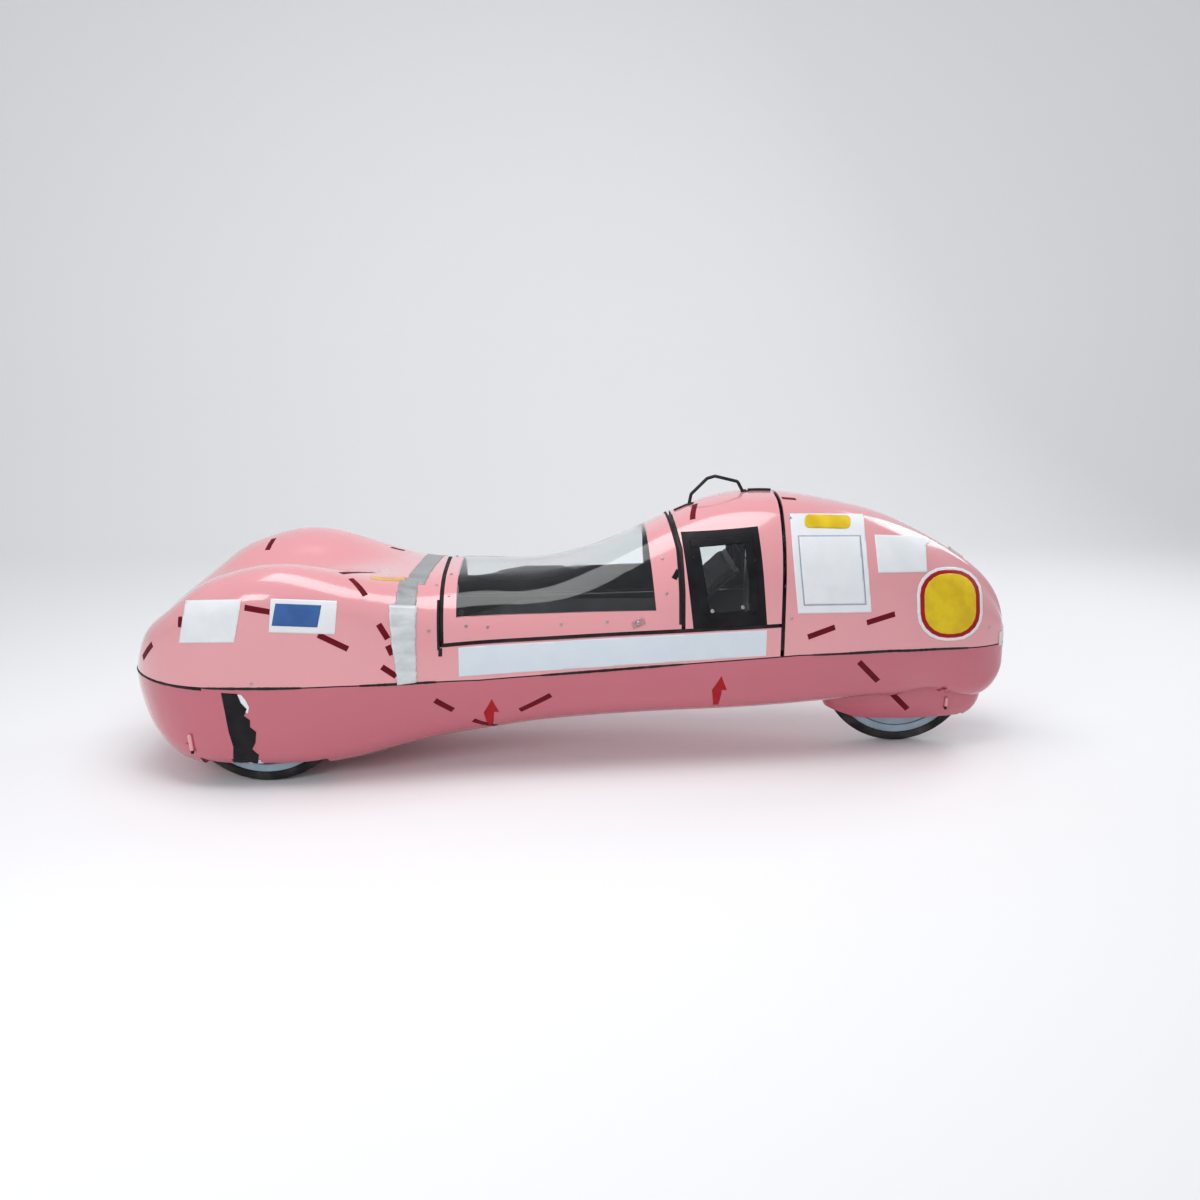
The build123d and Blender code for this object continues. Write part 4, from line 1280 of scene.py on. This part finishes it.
for name, start, along, out, length, channels in pads:
    base = pan_wall + pad_gap
    placed = Matrix.Translation(start) @ Matrix((along, (0, 1, 0), out)).transposed().to_4x4()
    shape = bmesh.new()
    block(shape, (0, -pad_half, base), (length, pad_half, base + pad_start), pad_edge, placed)
    pad = new_piece(name, shape, seat_cloth, "body", 180.0)
    inflated(pad, pad_cap)
    pad.data.materials.clear()
    pad.data.materials.append(seat_cloth)
    for vertex in pad.data.vertices:
        offset = vertex.co - start
        u = offset.dot(along)
        rise = offset.dot(out) - base
        for channel in range(1, channels + 1):
            gap = abs(u - length * channel / (channels + 1))
            if gap < channel_half and rise > pad_start * 0.5:
                vertex.co -= out * channel_depth * (1 - gap / channel_half)
        if offset.dot(out) < base:
            vertex.co += out * (base - offset.dot(out))
    pad.data.shade_smooth()
    soft = pad.modifiers.new("soft", "SUBSURF")
    soft.levels = 1
    soft.render_levels = 1


# Drive unit bolted to the frame behind the bulkhead: a cast alloy crankcase, a barrel with square
# fins, a round cover held by six bolts, and an exhaust stub. It fills the space of its solid.
cast_alloy = metal("cast_alloy", (0.34, 0.34, 0.35, 1.0), (0.18, 0.18, 0.19, 1.0), 0.5, (1, 1, 1))
engine_x = 0.700
fins = 8
fin_pitch = 0.010
cover_bolts = 6
cover_bolt_circle = 0.032
engine = bmesh.new()
block(engine, (0.640, -0.075, 0.262), (0.760, 0.075, 0.350), 0.008)
for fin in range(fins):
    z = 0.356 + fin * fin_pitch
    block(engine, (0.652, -0.048, z), (0.748, 0.048, z + 0.004), 0.0015)
turned_parts = [
    # profile, foot, direction, steps: the barrel, the cover, the exhaust stub
    ([(0.032, 0.0), (0.032, 0.096), (0.020, 0.099), (0, 0.099)], (engine_x, 0, 0.346), (0, 0, 1), 32),
    ([(0.038, 0), (0.038, 0.008), (0.034, 0.012), (0.012, 0.013), (0, 0.013)],
     (engine_x, -0.075, 0.306), (0, -1, 0), 32),
    ([(0.010, 0), (0.010, 0.034), (0.007, 0.034), (0.007, 0.004), (0, 0.004)],
     (engine_x, 0.048, 0.400), (0, 1, 0), 24),
]
for profile, foot, direction, steps in turned_parts:
    lathe(engine, profile, facing_frame(foot, direction), steps)
for step in range(cover_bolts):
    turn = 2 * math.pi * step / cover_bolts
    place = (
        engine_x + cover_bolt_circle * math.cos(turn), -0.085, 0.306 + cover_bolt_circle * math.sin(turn))
    lathe(engine, screw_head(0.003, 0.003), facing_frame(place, (0, -1, 0)), 10)
drive_unit = new_piece("drive_unit", engine, cast_alloy, "body", 40.0)
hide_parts("engine_block")


# Steel screws that fix the bulkhead's panel through its rim, and the black painted washers that
# spread the load of the roof handle's two feet.
bulkhead_face_x = 0.612
bulkhead_screw_places = [(0.16, 0.32), (0.19, 0.42), (0.17, 0.56), (0.12, 0.70)]
handle_feet_x = (0.342, 0.508)
bulkhead_screws = bmesh.new()
for y, z in bulkhead_screw_places:
    for side in (-1, 1):
        seat = (bulkhead_face_x, side * y, z)
        lathe(bulkhead_screws, screw_head(0.005, 0.003), facing_frame(seat, (-1, 0, 0)), 14)
new_piece("bulkhead_screws", bulkhead_screws, steel, "body", head_crease)


def roof_point(x):
    """Place and normal of the hatch's crown at x."""
    return cast("hatch", (x, 0, 1.0), (0, 0, -1))


washer_profile = [(0.012, -0.001), (0.012, 0.0015), (0.007, 0.003), (0.005, 0.006)]
washers = bmesh.new()
for x in handle_feet_x:
    lathe(washers, washer_profile, facing_frame(*roof_point(x)), 24)
new_piece("handle_washers", washers, black_paint, "hatch", head_crease)


# Dark rods that run on from the handle along the roof's crown: painted wire, bonded down to the
# hatch before and behind the handle's feet.
rod_steps = 8
rod_seat = 1.05
roof_rods = [
    # name, x at both ends, radius
    ("roof_rod_front", 0.292, 0.334, 0.0028),
    ("roof_rod_rear", 0.518, 0.588, 0.0042),
]
for name, start_x, end_x, radius in roof_rods:
    points = []
    for step in range(rod_steps + 1):
        place, normal = roof_point(start_x + (end_x - start_x) * step / rod_steps)
        points.append(place + normal * radius * rod_seat)
    rod_line(name, points, radius, black_paint, "hatch")


# Latch plate at the tail's end: a small moulding of off-white plastic, held to the shell by two
# screws beside the latch.
latch_place = Vector((1.322, -0.059, 0.357))
latch_half = Vector((0.0025, 0.009, 0.022))
latch_screw_z = 0.014
plate = bmesh.new()
block(plate, -latch_half, latch_half, 0.0015)
for z in (latch_screw_z, -latch_screw_z):
    lathe(plate, screw_head(0.0035, 0.002), facing_frame((latch_half.x, 0, z), (1, 0, 0)), 12)
seat, normal, _, _ = skin_of["body"].find_nearest(latch_place)
turn = normal.to_track_quat("X", "Z").to_matrix().to_4x4()
bmesh.ops.transform(plate, matrix=Matrix.Translation(seat + normal * 0.0026) @ turn, verts=plate.verts)
new_piece("latch_plate", plate, off_white, "body", 40.0)


# Upright pins on the four towing bosses: turned pegs bonded to the shell, in the paler upper pink coat
# as a painted highlight, each with a black tip at its foot as painted shade.
boss_pins = [
    # place on the left skin, radius, half length
    ((-1.138, -0.312, 0.148), 0.006, 0.026),
    ((1.162, -0.070, 0.152), 0.005, 0.016),
]
shade_tip_length = 0.010
for number, ((x, y, z), radius, half) in enumerate(boss_pins):
    pin_profile = [
        (0, -half), (radius, -half + 0.001), (radius, half - radius),
        (radius * 0.7, half - radius * 0.3), (0, half)]
    shade_tip_profile = [
        (0, -half - shade_tip_length), (radius * 0.8, -half - shade_tip_length), (radius * 0.8, -half), (0, -half)]
    for side, hand in hands:
        outward = Vector((0.0, side, 0.0))
        seat, normal = cast("body", Vector((x, -side * y, z)) + outward * cast_reach, -outward)
        upward = (Vector((0, 0, 1)) - normal * normal.z).normalized()
        stand = facing_frame(seat + normal * radius * 0.7, upward)
        pin = bmesh.new()
        lathe(pin, pin_profile, stand, 18)
        new_piece(f"boss_highlight_pin_{number}_{hand}", pin, upper_gel, "body", head_crease)
        tip = bmesh.new()
        lathe(tip, shade_tip_profile, stand, 18)
        new_piece(f"boss_shade_tip_{number}_{hand}", tip, seal_rubber, "body", head_crease)
